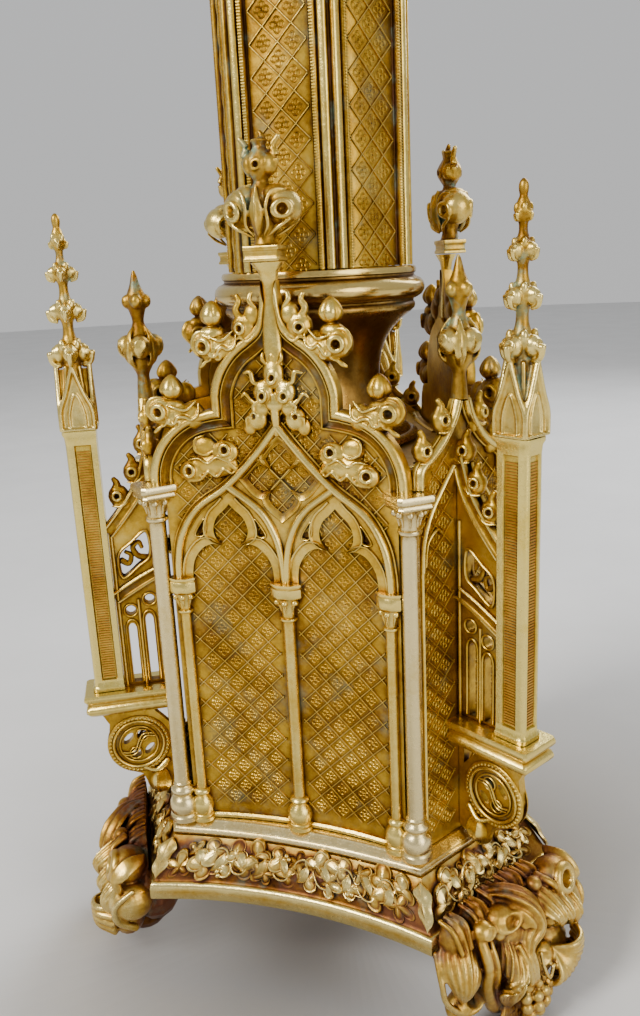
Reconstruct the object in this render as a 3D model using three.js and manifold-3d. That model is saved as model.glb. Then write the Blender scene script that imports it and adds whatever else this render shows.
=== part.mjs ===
// A neo-gothic altar candelabrum in gilded brass. Three leafy feet carry a hollow base plate and a
// six-sided tabernacle: three wide hollow faces with double lancets and ogee gables, and three narrow
// faces with a pierced flying buttress, a pier and a pinnacle each. A turned neck and a six-sided stem
// rise from its roof to a crown of six arms round a central candle. A tie rod clamps the whole stack.
// Millimetres, +Z up. The origin is on the floor at the centre; the front gabled face looks along -Y.
import * as THREE from "three";
import { mergeVertices } from "three/addons/utils/BufferGeometryUtils.js";
import Module from "manifold-3d";

const wasm = await Module();
wasm.setup();

// ---------------------------------------------------------------- driving dimensions

const GAP = 0.3; // clearance between pieces that touch
const DEG = Math.PI / 180;
const FACES = 3; // wide faces, and as many narrow ones
const ARMS = 6;
const FRONT = -90 * DEG; // direction of the front wide face
const RIGHT = -30 * DEG; // direction of the first narrow face

// Plan of the tabernacle walls. Each wide face is a hollow arc whose centre lies outside.
const WALL_ARC_CENTRE = 280.4;
const WALL_ARC_RADIUS = 219;
const WALL_NARROW = 84.5; // distance of a narrow face from the axis
const WALL_THICK = 3;
const WALL_STEPS = 6;

// Plan of the base plate's rim and of the sill above it
const RIM_ARC_CENTRE = 311;
const RIM_ARC_RADIUS = 230.6;
const RIM_NARROW = 105;
const SILL_ARC_CENTRE = 400;
const SILL_ARC_RADIUS = 329.5;
const SILL_NARROW = 91.2;

// Heights, from the floor up
const RIM_BOTTOM = 47.7;
const RIM_TOP = 55.8;
const PLATE_TOP = 75;
const SILL_TOP = 81.7;
const ROOF_BOTTOM = 254;
const ROOF_TOP = 257.7;
const NECK_TOP = 337;
const STEM_TOP = 540;
const KNOP_TOP = 612;
const CROWN_TOP = 634;
const ARM_TOP = 652;
const SPINDLE_TOP = 716;
const CANDLE_RISE = 48; // a pricket's tip above the seat it stands on

// Corner columns
const COLUMN_RADIUS = 90; // distance of a column from the axis
const COLUMN_TOP = 249.5;
const SHAFT = 3.8;

// Gable of a wide face
const GABLE_TOP = 341;
const SIDE_LOBE = { x: 28, z: 251, outer: 30.5, inner: 21.2 };
const TOP_LOBE = { x: -3.2, z: 283.2, outer: 32.6, inner: 23 };

// Buttresses
const WING_THICK = 6;
const LEDGE_BOTTOM = 129.5;
const LEDGE_TOP = 141;
const PIER = { inner: 108.5, outer: 122.5, half: 5.75, top: 271 };
const PIER_AXIS = (PIER.inner + PIER.outer) / 2;

// Stem, rod and arms
const STEM_CORNER = 45.6; // distance of the stem's corners from the axis
const STEM_WALL = 2.5;
const ROD = 5;
const ROD_BORE = 5.4;
const CROWN_CORNER = 24;
const ARM_REACH = 118;
const ARM_TUBE = 4.2;
const PAN_RADIUS = 26;
const PRICKET_FOOT = 6.5;

// ---------------------------------------------------------------- materials

const metal = (color, roughness) => new THREE.MeshStandardMaterial({ color, roughness, metalness: 1 });
const gilt = metal(0xcfa84e, 0.34); // worn gilding on walls, leaves and tracery
const paleGilt = metal(0xd9c189, 0.28); // rubbed columns and mouldings
const darkGilt = metal(0xa98440, 0.3); // browned neck and knop
const iron = metal(0x8a8a88, 0.5); // tie rod and nut

// ---------------------------------------------------------------- solids

// A closed three.js geometry as a solid that can be joined and cut.
function solid(geometry) {
  const bare = geometry.clone();
  bare.deleteAttribute("normal");
  bare.deleteAttribute("uv");
  const merged = mergeVertices(bare, 1e-4);
  const made = new wasm.Manifold(
    new wasm.Mesh({
      numProp: 3,
      vertProperties: new Float32Array(merged.attributes.position.array),
      triVerts: new Uint32Array(merged.index.array),
    }),
  );
  if (made.volume() <= 0) throw new Error("a geometry is inside out");
  return made;
}

function geometryOf(made) {
  const mesh = made.getMesh();
  const geometry = new THREE.BufferGeometry();
  geometry.setAttribute("position", new THREE.BufferAttribute(mesh.vertProperties, 3));
  geometry.setIndex(new THREE.BufferAttribute(mesh.triVerts, 1));
  geometry.computeVertexNormals();
  return geometry;
}

const join = (...parts) => parts.flat().reduce((all, part) => all.add(part));

const candelabrum = new THREE.Group();

function place(name, made, material, turn = 0) {
  const mesh = new THREE.Mesh(geometryOf(made), material);
  mesh.name = name;
  mesh.rotation.z = turn;
  candelabrum.add(mesh);
}

const flat = (points) => points.map(([x, y]) => new THREE.Vector2(x, y));

// A prism that stands on a plan outline.
function prism(outline, low, high) {
  const shape = outline instanceof THREE.Shape ? outline : new THREE.Shape(flat(outline));
  const settings = { depth: high - low, bevelEnabled: false, curveSegments: 6 };
  return solid(new THREE.ExtrudeGeometry(shape, settings).translate(0, 0, low));
}

// A plate cut to an outline drawn in X and Z, between two depths along Y.
function upright(outline, near, far, curveSegments = 6) {
  const shape = outline instanceof THREE.Shape ? outline : new THREE.Shape(flat(outline));
  const settings = { depth: far - near, bevelEnabled: false, curveSegments };
  const plate = new THREE.ExtrudeGeometry(shape, settings);
  return solid(plate.rotateX(Math.PI / 2).translate(0, far, 0));
}

function pierced(outline, holes, near, far) {
  const plate = upright(outline, near, far);
  return holes.reduce((rest, hole) => rest.subtract(upright(hole, near - 1, far + 1)), plate);
}

// A turned piece. The profile runs up the outside, from the axis or back to its start.
function turned(profile, sides, x = 0, y = 0) {
  const lathe = new THREE.LatheGeometry(flat(profile), sides);
  return solid(lathe.rotateX(Math.PI / 2).translate(x, y, 0));
}

function box(x0, x1, y0, y1, z0, z1) {
  const block = new THREE.BoxGeometry(x1 - x0, y1 - y0, z1 - z0);
  return solid(block.translate((x0 + x1) / 2, (y0 + y1) / 2, (z0 + z1) / 2));
}

// A rounded lump, such as a leaf's curl, a bud or a berry.
function lump(x, y, z, rx, ry, rz, sides = 6) {
  const ball = new THREE.SphereGeometry(1, sides, Math.max(4, sides - 3));
  return solid(ball.rotateX(Math.PI / 2).scale(rx, ry, rz).translate(x, y, z));
}

// What the tie rod's bore takes out of a piece.
const boreThrough = (low, high) =>
  turned([[0, low], [ROD_BORE, low], [ROD_BORE, high], [0, high]], 12);

// A skin through rings of points, closed by a cap at each end.
function loft(rings) {
  const count = rings[0].length;
  const index = [];
  for (let k = 0; k + 1 < rings.length; k++) {
    for (let i = 0; i < count; i++) {
      const a = k * count + i;
      const b = k * count + ((i + 1) % count);
      index.push(a, b, b + count, a, b + count, a + count);
    }
  }
  const cap = (ring) => THREE.ShapeUtils.triangulateShape(flat(ring), []);
  const last = (rings.length - 1) * count;
  cap(rings[0]).forEach(([a, b, c]) => index.push(c, b, a));
  cap(rings.at(-1)).forEach(([a, b, c]) => index.push(a + last, b + last, c + last));
  const geometry = new THREE.BufferGeometry();
  geometry.setAttribute("position", new THREE.Float32BufferAttribute(rings.flat(2), 3));
  geometry.setIndex(index);
  return solid(geometry);
}

// The outline of a line of the given width drawn through points.
function stroke(points, width) {
  const left = [];
  const right = [];
  points.forEach(([x, z], i) => {
    const [x0, z0] = points[Math.max(0, i - 1)];
    const [x1, z1] = points[Math.min(points.length - 1, i + 1)];
    const long = Math.hypot(x1 - x0, z1 - z0);
    const [nx, nz] = [(-(z1 - z0) / long) * (width / 2), ((x1 - x0) / long) * (width / 2)];
    left.push([x + nx, z + nz]);
    right.unshift([x - nx, z - nz]);
  });
  return [...left, ...right];
}

const smooth = (points, count) =>
  new THREE.SplineCurve(flat(points)).getPoints(count).map((p) => [p.x, p.y]);

const mirrored = (points) => points.map(([x, z]) => [-x, z]);

const arc = (cx, cz, radius, from, to, steps) =>
  Array.from({ length: steps + 1 }, (_, i) => {
    const angle = (from + ((to - from) * i) / steps) * DEG;
    return [cx + radius * Math.cos(angle), cz + radius * Math.sin(angle)];
  });

// ---------------------------------------------------------------- plans

// The six-sided plan with three hollow sides: one arc per wide face, from narrow side to narrow side.
function plan(centre, radius, narrow, steps) {
  const end = 30 * DEG + Math.asin((narrow - centre / 2) / radius);
  const points = [];
  for (let face = 0; face < FACES; face++) {
    const turn = face * (360 / FACES) * DEG;
    for (let i = 0; i <= steps; i++) {
      const angle = -end + (2 * end * i) / steps;
      const x = radius * Math.sin(angle);
      const y = radius * Math.cos(angle) - centre;
      points.push([x * Math.cos(turn) - y * Math.sin(turn), x * Math.sin(turn) + y * Math.cos(turn)]);
    }
  }
  return points;
}

const wallPlan = (inset) =>
  plan(WALL_ARC_CENTRE, WALL_ARC_RADIUS + inset, WALL_NARROW - inset, WALL_STEPS);
const rimPlan = (inset) => plan(RIM_ARC_CENTRE, RIM_ARC_RADIUS + inset, RIM_NARROW - inset, 6);
const sillPlan = (inset) => plan(SILL_ARC_CENTRE, SILL_ARC_RADIUS + inset, SILL_NARROW - inset, 6);
const at = (points, z) => points.map(([x, y]) => [x, y, z]);

// The front face's curved slab, from `out` in front of the wall's surface to `deep` behind it.
function faceBand(out, deep, low, high) {
  const end = 17 * DEG;
  const side = (radius, from, to) =>
    Array.from({ length: WALL_STEPS + 1 }, (_, i) => {
      const angle = from + ((to - from) * i) / WALL_STEPS;
      return [radius * Math.sin(angle), radius * Math.cos(angle) - WALL_ARC_CENTRE];
    });
  const near = side(WALL_ARC_RADIUS - out, -end, end);
  const far = side(WALL_ARC_RADIUS + deep, end, -end);
  return prism([...near, ...far], low, high);
}

// Where the front face's wall surface lies at a distance x from its middle.
const wallY = (x) => Math.sqrt(WALL_ARC_RADIUS ** 2 - x ** 2) - WALL_ARC_CENTRE;

const columnAngle = Math.asin(
  (WALL_ARC_RADIUS * Math.sin(30 * DEG + Math.asin((WALL_NARROW - WALL_ARC_CENTRE / 2) / WALL_ARC_RADIUS))) /
    COLUMN_RADIUS,
);

// ---------------------------------------------------------------- corner columns

function column(angle, grow = 0) {
  const [x, y] = [COLUMN_RADIUS * Math.cos(angle), COLUMN_RADIUS * Math.sin(angle)];
  const profile = [
    [0, SILL_TOP + GAP - grow],
    [6.6 + grow, SILL_TOP + GAP - grow],
    [6.6 + grow, 94],
    [5.2 + grow, 99],
    [SHAFT + grow, 102],
    [SHAFT + grow, 231.5 - grow],
    [5 + grow, 234 - grow],
    [8.5 + grow, 243.5 - grow],
    [8.5 + grow, COLUMN_TOP + grow],
    [0, COLUMN_TOP + grow],
  ];
  return turned(profile, 12, x, y);
}

const columnAngles = [];
for (let face = 0; face < FACES; face++) {
  const middle = FRONT + face * (360 / FACES) * DEG;
  columnAngles.push(middle - columnAngle, middle + columnAngle);
}

// ---------------------------------------------------------------- base

function basePlate() {
  const outside = loft([
    at(rimPlan(0), RIM_BOTTOM),
    at(rimPlan(0), RIM_TOP),
    at(rimPlan(2.5), RIM_TOP + 1),
    at(sillPlan(0), PLATE_TOP),
  ]);
  const inside = loft([
    at(rimPlan(5), RIM_BOTTOM - 1),
    at(rimPlan(5), RIM_TOP - 2),
    at(sillPlan(6), PLATE_TOP - 4),
  ]);
  return outside.subtract(inside).subtract(boreThrough(RIM_BOTTOM, PLATE_TOP + 1));
}

function sillMoulding() {
  const slab = loft([
    at(sillPlan(1.5), PLATE_TOP + GAP),
    at(sillPlan(0), PLATE_TOP + 2.5),
    at(sillPlan(0), SILL_TOP - 1.2),
    at(sillPlan(1.2), SILL_TOP),
  ]);
  return slab.subtract(boreThrough(PLATE_TOP, SILL_TOP + 1));
}

// A foot, drawn pointing along +X: leaf scrolls round a grape cluster, cut flat at the floor.
function foot() {
  const core = [
    lump(112, 0, 24, 20, 30, 28, 8),
    lump(114, 0, 52, 14, 26, 20),
    lump(130, 0, 15, 8, 11, 15), // grape cluster
    lump(121, 0, 65, 8, 12, 10), // top scroll
  ];
  const lug = box(94, 112, -18, 18, 32, RIM_BOTTOM - GAP); // carries the rim of the base plate
  const sides = [-1, 1].flatMap((side) => [
    lump(121, side * 20, 27, 12, 11, 18), // leaf beside the cluster
    lump(112, side * 31, 21, 12, 12, 21), // outer leaf
    lump(115, side * 26, 54, 8, 12, 14), // shoulder leaf
  ]);
  const whole = join(core, lug, sides).subtract(box(60, 180, -80, 80, -60, 0));
  const plateRoom = loft([
    at(rimPlan(-GAP), RIM_BOTTOM - GAP),
    at(rimPlan(-GAP), RIM_TOP + 1 + GAP),
    at(sillPlan(-GAP), PLATE_TOP + GAP),
    at(sillPlan(-GAP), 120),
  ]).rotate([0, 0, -RIGHT / DEG]);
  return whole.subtract(plateRoom);
}

// ---------------------------------------------------------------- wide faces

// Half of the gable's outer edge, from the capital up to the stalk.
const gableEdge = [
  ...arc(SIDE_LOBE.x, SIDE_LOBE.z, SIDE_LOBE.outer, 0, 90, 5),
  ...arc(TOP_LOBE.x, TOP_LOBE.z, TOP_LOBE.outer, 0, 66, 4),
  [5.5, 319],
  [3.5, 333],
  [7.5, GABLE_TOP],
];

// Half of the wall's edge behind the frame, along the middle of the frame's band.
const wallEdge = [
  ...arc(SIDE_LOBE.x, SIDE_LOBE.z, (SIDE_LOBE.outer + SIDE_LOBE.inner) / 2, 0, 88, 4),
  ...arc(TOP_LOBE.x, TOP_LOBE.z, (TOP_LOBE.outer + TOP_LOBE.inner) / 2, 4, 62, 3),
  [2, 315],
];

// Half of the frame's inner edge, from the capital up to the apex.
const frameEdge = [
  ...arc(SIDE_LOBE.x, SIDE_LOBE.z, SIDE_LOBE.inner, 0, 90, 4),
  [19.7, 273.5],
  ...arc(TOP_LOBE.x, TOP_LOBE.z, TOP_LOBE.inner, 10, 62, 3),
  [3, 306.5],
];

const wholeGable = (edge) => [...edge, ...mirrored(edge).reverse()];

function colonnette(x, shaft, cap, top) {
  const foot0 = SILL_TOP + GAP;
  const profile = [
    [0, foot0],
    [shaft * 1.9, foot0],
    [shaft * 1.9, 94],
    [shaft, 101],
    [shaft, top - 16],
    [cap * 0.7, top - 14],
    [cap, top - 6],
    [cap, top],
    [0, top],
  ];
  return turned(profile, 6, x, wallY(x) - 0.5);
}

function mainPanel() {
  const low = SILL_TOP + GAP;
  const outline = [[-52.4, low], [52.4, low], ...wholeGable(wallEdge)];
  const wall = upright(outline, -90, -40).intersect(faceBand(0, WALL_THICK, low - 1, GABLE_TOP));

  // The raised frame round the arched field stands on the capitals.
  const innerEdge = [...mirrored(frameEdge), [0, 310.4], ...[...frameEdge].reverse()];
  const arch = upright([...wholeGable(gableEdge), ...innerEdge], -90, -40);
  const frame = arch.intersect(faceBand(3, WALL_THICK - 0.6, SIDE_LOBE.z - 2, GABLE_TOP + 1));

  // Ogee ribs over each lancet and the ribs that cross them from the middle capital.
  const ogee = smooth([[50, 204], [47, 226], [39, 238], [24.2, 248], [11, 262], [-1.5, 277]], 7);
  const inner = smooth([[0, 203], [3, 227], [10, 237], [26, 249.5]], 4);
  const cuspOut = smooth([[42, 205], [40, 216], [33, 221], [25, 234]], 3);
  const cuspIn = smooth([[8, 207], [10, 216], [16, 221], [25, 234]], 3);
  const lines = [stroke(ogee, 4.4), stroke(inner, 4), stroke(cuspOut, 2.6), stroke(cuspIn, 2.6)];
  const ribs = lines
    .flatMap((line) => [line, mirrored(line).reverse()])
    .map((line) => upright(line, -90, -40).intersect(faceBand(2.4, 0.5, 200, 280)));

  // Crockets along the gable: a curled leaf with a bud on each lobe, and a small leaf by the stalk.
  const sideLeaf = [
    [40, 275], [49, 267], [56, 276], [57, 284], [49.5, 288], [49, 297], [44, 299], [41, 288],
  ];
  const topLeaf = [
    [20, 303], [27, 298], [34, 304], [35, 312], [29.5, 315], [28.5, 325], [24, 327], [21, 316],
  ];
  const stalkLeaf = [[9, 311], [16, 307], [18.5, 317], [14, 323], [10.5, 318]];
  const crockets = [sideLeaf, topLeaf, stalkLeaf].flatMap((leaf, i) => {
    const y = wallY([47, 27, 14][i]);
    return [leaf, mirrored(leaf).reverse()].map((outline) => upright(outline, y - 4, y + 3.5));
  });
  const ogeeLeaf = upright([[0, 271], [7, 288], [6, 296], [0, 304.8], [-6, 296], [-7, 288]], -65.5, -61);
  const shafts = [
    colonnette(-48.5, 2.4, 4.8, 206),
    colonnette(0, 2.8, 7, 204.8),
    colonnette(48.5, 2.4, 4.8, 206),
  ];
  const whole = join(wall, frame, ribs, shafts, crockets, ogeeLeaf);
  const room = [FRONT - columnAngle, FRONT + columnAngle].map((angle) => column(angle, GAP));
  return room.reduce((rest, cut) => rest.subtract(cut), whole);
}

// The finial on a wide face's stalk: a square collar, a knob of four curled leaves and a flower.
function mainFinial() {
  const y = -64;
  const stem = turned(
    [
      [0, 347],
      [3.4, 347],
      [9, 359],
      [7, 367],
      [2.8, 371],
      [7.5, 378],
      [3.5, 384],
      [0, 390.2],
    ],
    8,
    0,
    y,
  );
  const collar = box(-7.5, 7.5, y - 4.5, y + 4.5, GABLE_TOP + GAP, 347.5);
  const curls = [-1, 1].flatMap((sx) => [
    lump(sx * 9, y - 4, 360.5, 6.5, 6.5, 7.5),
    lump(sx * 9, y + 5, 360.5, 6, 6, 7),
  ]);
  return join(collar, stem, curls);
}

// ---------------------------------------------------------------- narrow faces, drawn facing +X

// A plate drawn in Y and Z, between two distances along X.
const facing = (outline, near, far) => upright(outline, near, far).rotate([0, 0, 90]);

const narrowGable = [
  [26.8, 257],
  [19, 262],
  [9, 271],
  [3.5, 283],
];

function cornerPanel() {
  const low = SILL_TOP + GAP;
  const outline = [[26.8, low], ...narrowGable, ...mirrored(narrowGable).reverse(), [-26.8, low]];
  const wall = facing(outline, -WALL_NARROW, WALL_THICK - WALL_NARROW);
  const edge = narrowGable.slice(1);
  const rake = stroke([[26, 256], ...edge.slice(0, 2), [1, 281]], 4.5);
  const rakeLines = [rake, mirrored(rake).reverse()];
  const rakes = rakeLines.map((line) => facing(line, -WALL_NARROW - 2, -WALL_NARROW + 1));
  const leaf = [[7, 272], [12, 266], [15, 271], [14, 281], [9, 281]];
  const sideLeaf = [[18, 262], [24, 258], [28, 263], [27, 271], [21, 270]];
  const crockets = [leaf, sideLeaf]
    .flatMap((outline) => [outline, mirrored(outline).reverse()])
    .map((outline) => facing(outline, -WALL_NARROW - 3, -WALL_NARROW + 2));
  const whole = join(wall, rakes, crockets);
  const room = [-1, 1].map((side) => column(side * (60 * DEG - columnAngle), GAP));
  return room.reduce((rest, cut) => rest.subtract(cut), whole);
}

function cornerFinial() {
  const x = WALL_NARROW;
  const stem = turned(
    [
      [0, 283 + GAP],
      [3.5, 283 + GAP],
      [3, 295],
      [5.5, 298],
      [8, 306],
      [8, 311],
      [3, 318],
      [6.5, 327],
      [4, 333],
      [0, 340.8],
    ],
    8,
    x,
    0,
  );
  const curls = [-1, 1].map((side) => lump(x, side * 6, 308, 7, 5, 5.5));
  return join(stem, curls);
}

// ---------------------------------------------------------------- buttresses, drawn along +X

// The pierced wing between the wall and the pier, with its ledge and bracket.
function wing() {
  const root = WALL_NARROW + GAP;
  const pier = PIER.inner - GAP;
  const half = WING_THICK / 2;
  const eye = (r, z, radius, sides) => arc(r, z, radius, 0, 360 - 360 / sides, sides - 1);
  const slot = (r, top) => [
    ...arc(r, top, 1.85, 0, 180, 3),
    [r - 1.85, LEDGE_TOP + 2],
    [r + 1.85, LEDGE_TOP + 2],
  ];

  const webEdge = [[pier, 223.5], [101, 233], [93, 241.5], [90, 250], [root, 265]];
  const webHoles = [
    slot(101.5, 171.6),
    slot(93, 176),
    eye(92, 184.5, 2.2, 5),
    eye(101, 179.3, 2.2, 5),
    [[103, 198], [103, 210], [91, 219], [91, 205]],
  ];
  const [cx, cz] = [104.5, 108.3]; // middle of the beaded roundel
  const bracketEdge = [[root, 84], [97, 82], [104, 90], [115, 98], [118, 104], [123, LEDGE_BOTTOM + 2]];
  const bracketHoles = [
    eye(cx + 4.6, cz + 2.6, 4.4, 6),
    eye(cx - 4.6, cz - 2.6, 4.4, 6),
    [[88.5, 126], [88.5, 116], [96, 126]],
  ];
  const bands = [
    stroke([[root + 2, 261], [92, 243], [pier - 1, 219.5]], 7),
    stroke([[root + 2, 199], [pier - 1, 187.5]], 7),
  ];
  const ledge = [
    [root, LEDGE_BOTTOM],
    [123, LEDGE_BOTTOM],
    [127, LEDGE_TOP - 4],
    [127, LEDGE_TOP],
    [root, LEDGE_TOP],
  ];
  const crocket = ([r, z]) => [[r - 3, z - 3], [r + 1, z - 4], [r + 4.5, z], [r + 3, z + 5], [r - 1, z + 3]];
  const crockets = [[87.5, 262.5], [93, 249.5], [101, 238]].map(crocket);
  return join(
    pierced([[root, LEDGE_TOP - 2], [pier, LEDGE_TOP - 2], ...webEdge], webHoles, -half + 1, half - 1),
    pierced([[root, LEDGE_BOTTOM + 2], ...bracketEdge], bracketHoles, -half, half),
    bands.map((band) => upright(band, -half - 0.5, half + 0.5)),
    upright(ledge, -10, 10),
    lump(96.5, 0, 87, 5.5, 6, 6.5, 6),
    crockets.map((outline) => upright(outline, -half, half)),
  ).subtract(box(80, root, -20, 20, 80, 280)).subtract(box(pier, 130, -20, 20, LEDGE_TOP + GAP, 240));
}

function pier() {
  const { inner, outer, half, top } = PIER;
  const bevel = 1.6;
  const outline = [
    [inner, -half],
    [outer - bevel, -half],
    [outer, -half + bevel],
    [outer, half - bevel],
    [outer - bevel, half],
    [inner, half],
  ];
  const post = prism(outline, LEDGE_TOP + GAP, top);
  const [low, high] = [LEDGE_TOP + 8, top - 8];
  const channels = [
    box(inner + 3.5, outer - 3.5, half - 1, half + 1, low, high),
    box(inner + 3.5, outer - 3.5, -half - 1, -half + 1, low, high),
    box(outer - 1, outer + 1, -half + 3, half - 3, low, high),
  ];
  return channels.reduce((rest, cut) => rest.subtract(cut), post);
}

// The pinnacle on a pier: four gablets round a spirelet with tiers of crocket balls.
function pinnacle() {
  const foot0 = PIER.top + GAP;
  const spire = turned(
    [
      [0, foot0],
      [8.4, foot0],
      [4, 300],
      [8, 306],
      [3.4, 314],
      [6.8, 325],
      [3, 331],
      [5.6, 341],
      [2.4, 348],
      [5.4, 357],
      [0, 366],
    ],
    8,
  );
  const gablet = [[-8, foot0], [8, foot0], [6, 282], [0, 299], [-6, 282]];
  const along = upright(gablet, -7.5, 7.5);
  return join(spire, along, along.rotate([0, 0, 90])).translate([PIER_AXIS, 0, 0]);
}

// ---------------------------------------------------------------- roof, neck, stem and rod

function roofPlate() {
  const plate = prism(wallPlan(WALL_THICK + GAP + 1), ROOF_BOTTOM, ROOF_TOP);
  return plate.subtract(boreThrough(ROOF_BOTTOM - 1, ROOF_TOP + 1));
}

function lowerNeck() {
  const foot0 = ROOF_TOP + GAP;
  return turned(
    [
      [44, foot0],
      [44, 261],
      [31, 270],
      [27, 284],
      [28.5, 300],
      [36, 312],
      [44, 319],
      [44, 322],
      [48.8, 327.5],
      [44, 333],
      [44, NECK_TOP],
      [34, NECK_TOP],
      [33, 319],
      [25.5, 304],
      [24, 284],
      [38, foot0],
      [44, foot0],
    ],
    18,
  );
}

// The stem's plan: a corner moulding, a groove and a sunk field on each of the six sides.
function stemPlan() {
  const apothem = STEM_CORNER * Math.cos(30 * DEG);
  const points = [];
  for (let side = 0; side < 6; side++) {
    const turn = side * 60 * DEG;
    const half = [[-STEM_CORNER / 2, 0], [-17.5, 0], [-16.5, -1.2], [-14.5, 0.4], [-13.4, -1.8]];
    const profile = [...half, ...mirrored(half).reverse().slice(0, -1)];
    profile.forEach(([t, out]) => {
      const r = apothem + out;
      points.push([r * Math.cos(turn) - t * Math.sin(turn), r * Math.sin(turn) + t * Math.cos(turn)]);
    });
  }
  return points;
}

const hexagon = (corner, first = 0) =>
  Array.from({ length: 6 }, (_, i) => [
    corner * Math.cos(first + i * 60 * DEG),
    corner * Math.sin(first + i * 60 * DEG),
  ]);

function stemCasing() {
  const low = NECK_TOP + GAP;
  const turn = 30; // puts a flat side to the front
  const outside = prism(stemPlan(), low, STEM_TOP).rotate([0, 0, turn]);
  const inside = prism(hexagon(STEM_CORNER - STEM_WALL - 2.6), low - 1, STEM_TOP + 1);
  return outside.subtract(inside);
}

function knop() {
  const low = STEM_TOP + GAP;
  return turned(
    [
      [47, low],
      [48, 548],
      [44, 553],
      [24, 564],
      [33, 576],
      [36, 585],
      [32, 594],
      [20, 604],
      [30, 608],
      [30, KNOP_TOP],
      [ROD_BORE, KNOP_TOP],
      [ROD_BORE, 606],
      [16, 600],
      [29, 585],
      [20, 562],
      [40, low],
      [47, low],
    ],
    16,
  );
}

function armCrown() {
  const block = prism(hexagon(CROWN_CORNER, 0), KNOP_TOP + GAP, CROWN_TOP);
  const band = (low) => prism(hexagon(CROWN_CORNER + 2, 0), low, low + 4);
  const bands = [KNOP_TOP + GAP, CROWN_TOP - 4].map(band);
  return join(block, bands).subtract(boreThrough(KNOP_TOP - 1, CROWN_TOP + 1));
}

function topSpindle() {
  const low = CROWN_TOP + GAP;
  const body = turned(
    [
      [0, low],
      [16, low],
      [16, 638],
      [8, 643],
      [6, 655],
      [12, 664],
      [13, 670],
      [7, 678],
      [5.5, 696],
      [10, 707],
      [12, SPINDLE_TOP],
      [0, SPINDLE_TOP],
    ],
    12,
  );
  return body.subtract(boreThrough(low - 1, 644));
}

// ---------------------------------------------------------------- arms, drawn along +X

function arm() {
  const root = CROWN_CORNER * Math.cos(30 * DEG) + GAP;
  const route = new THREE.CatmullRomCurve3(
    [[root + 2, 623], [45, 611], [75, 605], [103, 616], [ARM_REACH, 638], [ARM_REACH, ARM_TOP - 1]]
      .map(([r, z]) => new THREE.Vector3(r, 0, z)),
  );
  const section = new THREE.Shape(flat(arc(0, 0, ARM_TUBE, 0, 300, 5)));
  const tube = solid(new THREE.ExtrudeGeometry(section, { steps: 9, extrudePath: route }));
  const seat = turned(
    [[0, ARM_TOP - 6], [4, ARM_TOP - 6], [8, ARM_TOP - 2], [8, ARM_TOP], [0, ARM_TOP]],
    8,
    ARM_REACH,
  );
  const flange = box(root, root + 2.5, -7, 7, KNOP_TOP + 5, CROWN_TOP - 5);
  const leaves = [
    [[46, 612], [56, 610], [60, 620], [52, 619]],
    [[85, 609], [95, 613], [92, 623], [86, 618]],
  ].map((outline) => upright(outline, -2.5, 2.5));
  return join(tube, seat, flange, leaves);
}

// A drip pan lifts off over the foot of its pricket.
function dripPan(seat, x) {
  const low = seat + GAP;
  const bore = PRICKET_FOOT + GAP;
  return turned(
    [
      [bore, low],
      [14, low],
      [PAN_RADIUS - 2, low + 4.5],
      [PAN_RADIUS, low + 9.5],
      [PAN_RADIUS - 2.5, low + 9.5],
      [13, low + 2.5],
      [bore, low + 2.5],
      [bore, low],
    ],
    12,
    x,
  );
}

function pricket(seat, x) {
  return turned(
    [
      [0, seat + GAP],
      [PRICKET_FOOT, seat + GAP],
      [PRICKET_FOOT, seat + 6],
      [2.6, seat + 10],
      [0, seat + CANDLE_RISE],
    ],
    8,
    x,
  );
}

// ---------------------------------------------------------------- assembly

place("base_plate", basePlate(), gilt);
place("sill_moulding", sillMoulding(), paleGilt);

const wideTurns = { front: 0, right: 120 * DEG, left: -120 * DEG };
const panelSolid = mainPanel();
const finialSolid = mainFinial();
for (const [side, turn] of Object.entries(wideTurns)) {
  place("main_panel_" + side, panelSolid, gilt, turn);
  place("main_finial_" + side, finialSolid, paleGilt, turn);
}

const narrowTurns = { right: RIGHT, left: RIGHT - 120 * DEG, back: RIGHT + 120 * DEG };
const narrowPieces = {
  foot: [foot(), gilt],
  corner_panel: [cornerPanel(), gilt],
  corner_finial: [cornerFinial(), gilt],
  buttress_wing: [wing(), gilt],
  pier: [pier(), paleGilt],
  pinnacle: [pinnacle(), paleGilt],
};
for (const [name, [made, material]] of Object.entries(narrowPieces)) {
  for (const [side, turn] of Object.entries(narrowTurns)) place(name + "_" + side, made, material, turn);
}

columnAngles.forEach((angle, i) => place("corner_column_" + (i + 1), column(angle), paleGilt));

place("roof_plate", roofPlate(), gilt);
place("lower_neck", lowerNeck(), darkGilt);
place("stem_casing", stemCasing(), gilt);
place("knop", knop(), darkGilt);
place("arm_crown", armCrown(), gilt);
place("top_spindle", topSpindle(), gilt);

const rodFoot = PLATE_TOP - 18;
place("tie_rod", turned([[0, rodFoot], [ROD, rodFoot], [ROD, 642], [0, 642]], 12), iron);
const nutTop = PLATE_TOP - 4 - GAP;
const nut = prism(hexagon(10), nutTop - 8, nutTop).subtract(boreThrough(nutTop - 9, nutTop + 1));
place("tie_rod_nut", nut, iron);

const [armSolid, panSolid, pricketSolid] = [arm(), dripPan(ARM_TOP, ARM_REACH), pricket(ARM_TOP, ARM_REACH)];
for (let i = 0; i < ARMS; i++) {
  const turn = FRONT + i * (360 / ARMS) * DEG;
  place("arm_" + (i + 1), armSolid, gilt, turn);
  place("drip_pan_" + (i + 1), panSolid, paleGilt, turn);
  place("pricket_" + (i + 1), pricketSolid, gilt, turn);
}
place("drip_pan_center", dripPan(SPINDLE_TOP, 0), paleGilt);
place("pricket_center", pricket(SPINDLE_TOP, 0), gilt);

export default candelabrum;
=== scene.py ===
import math

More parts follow.
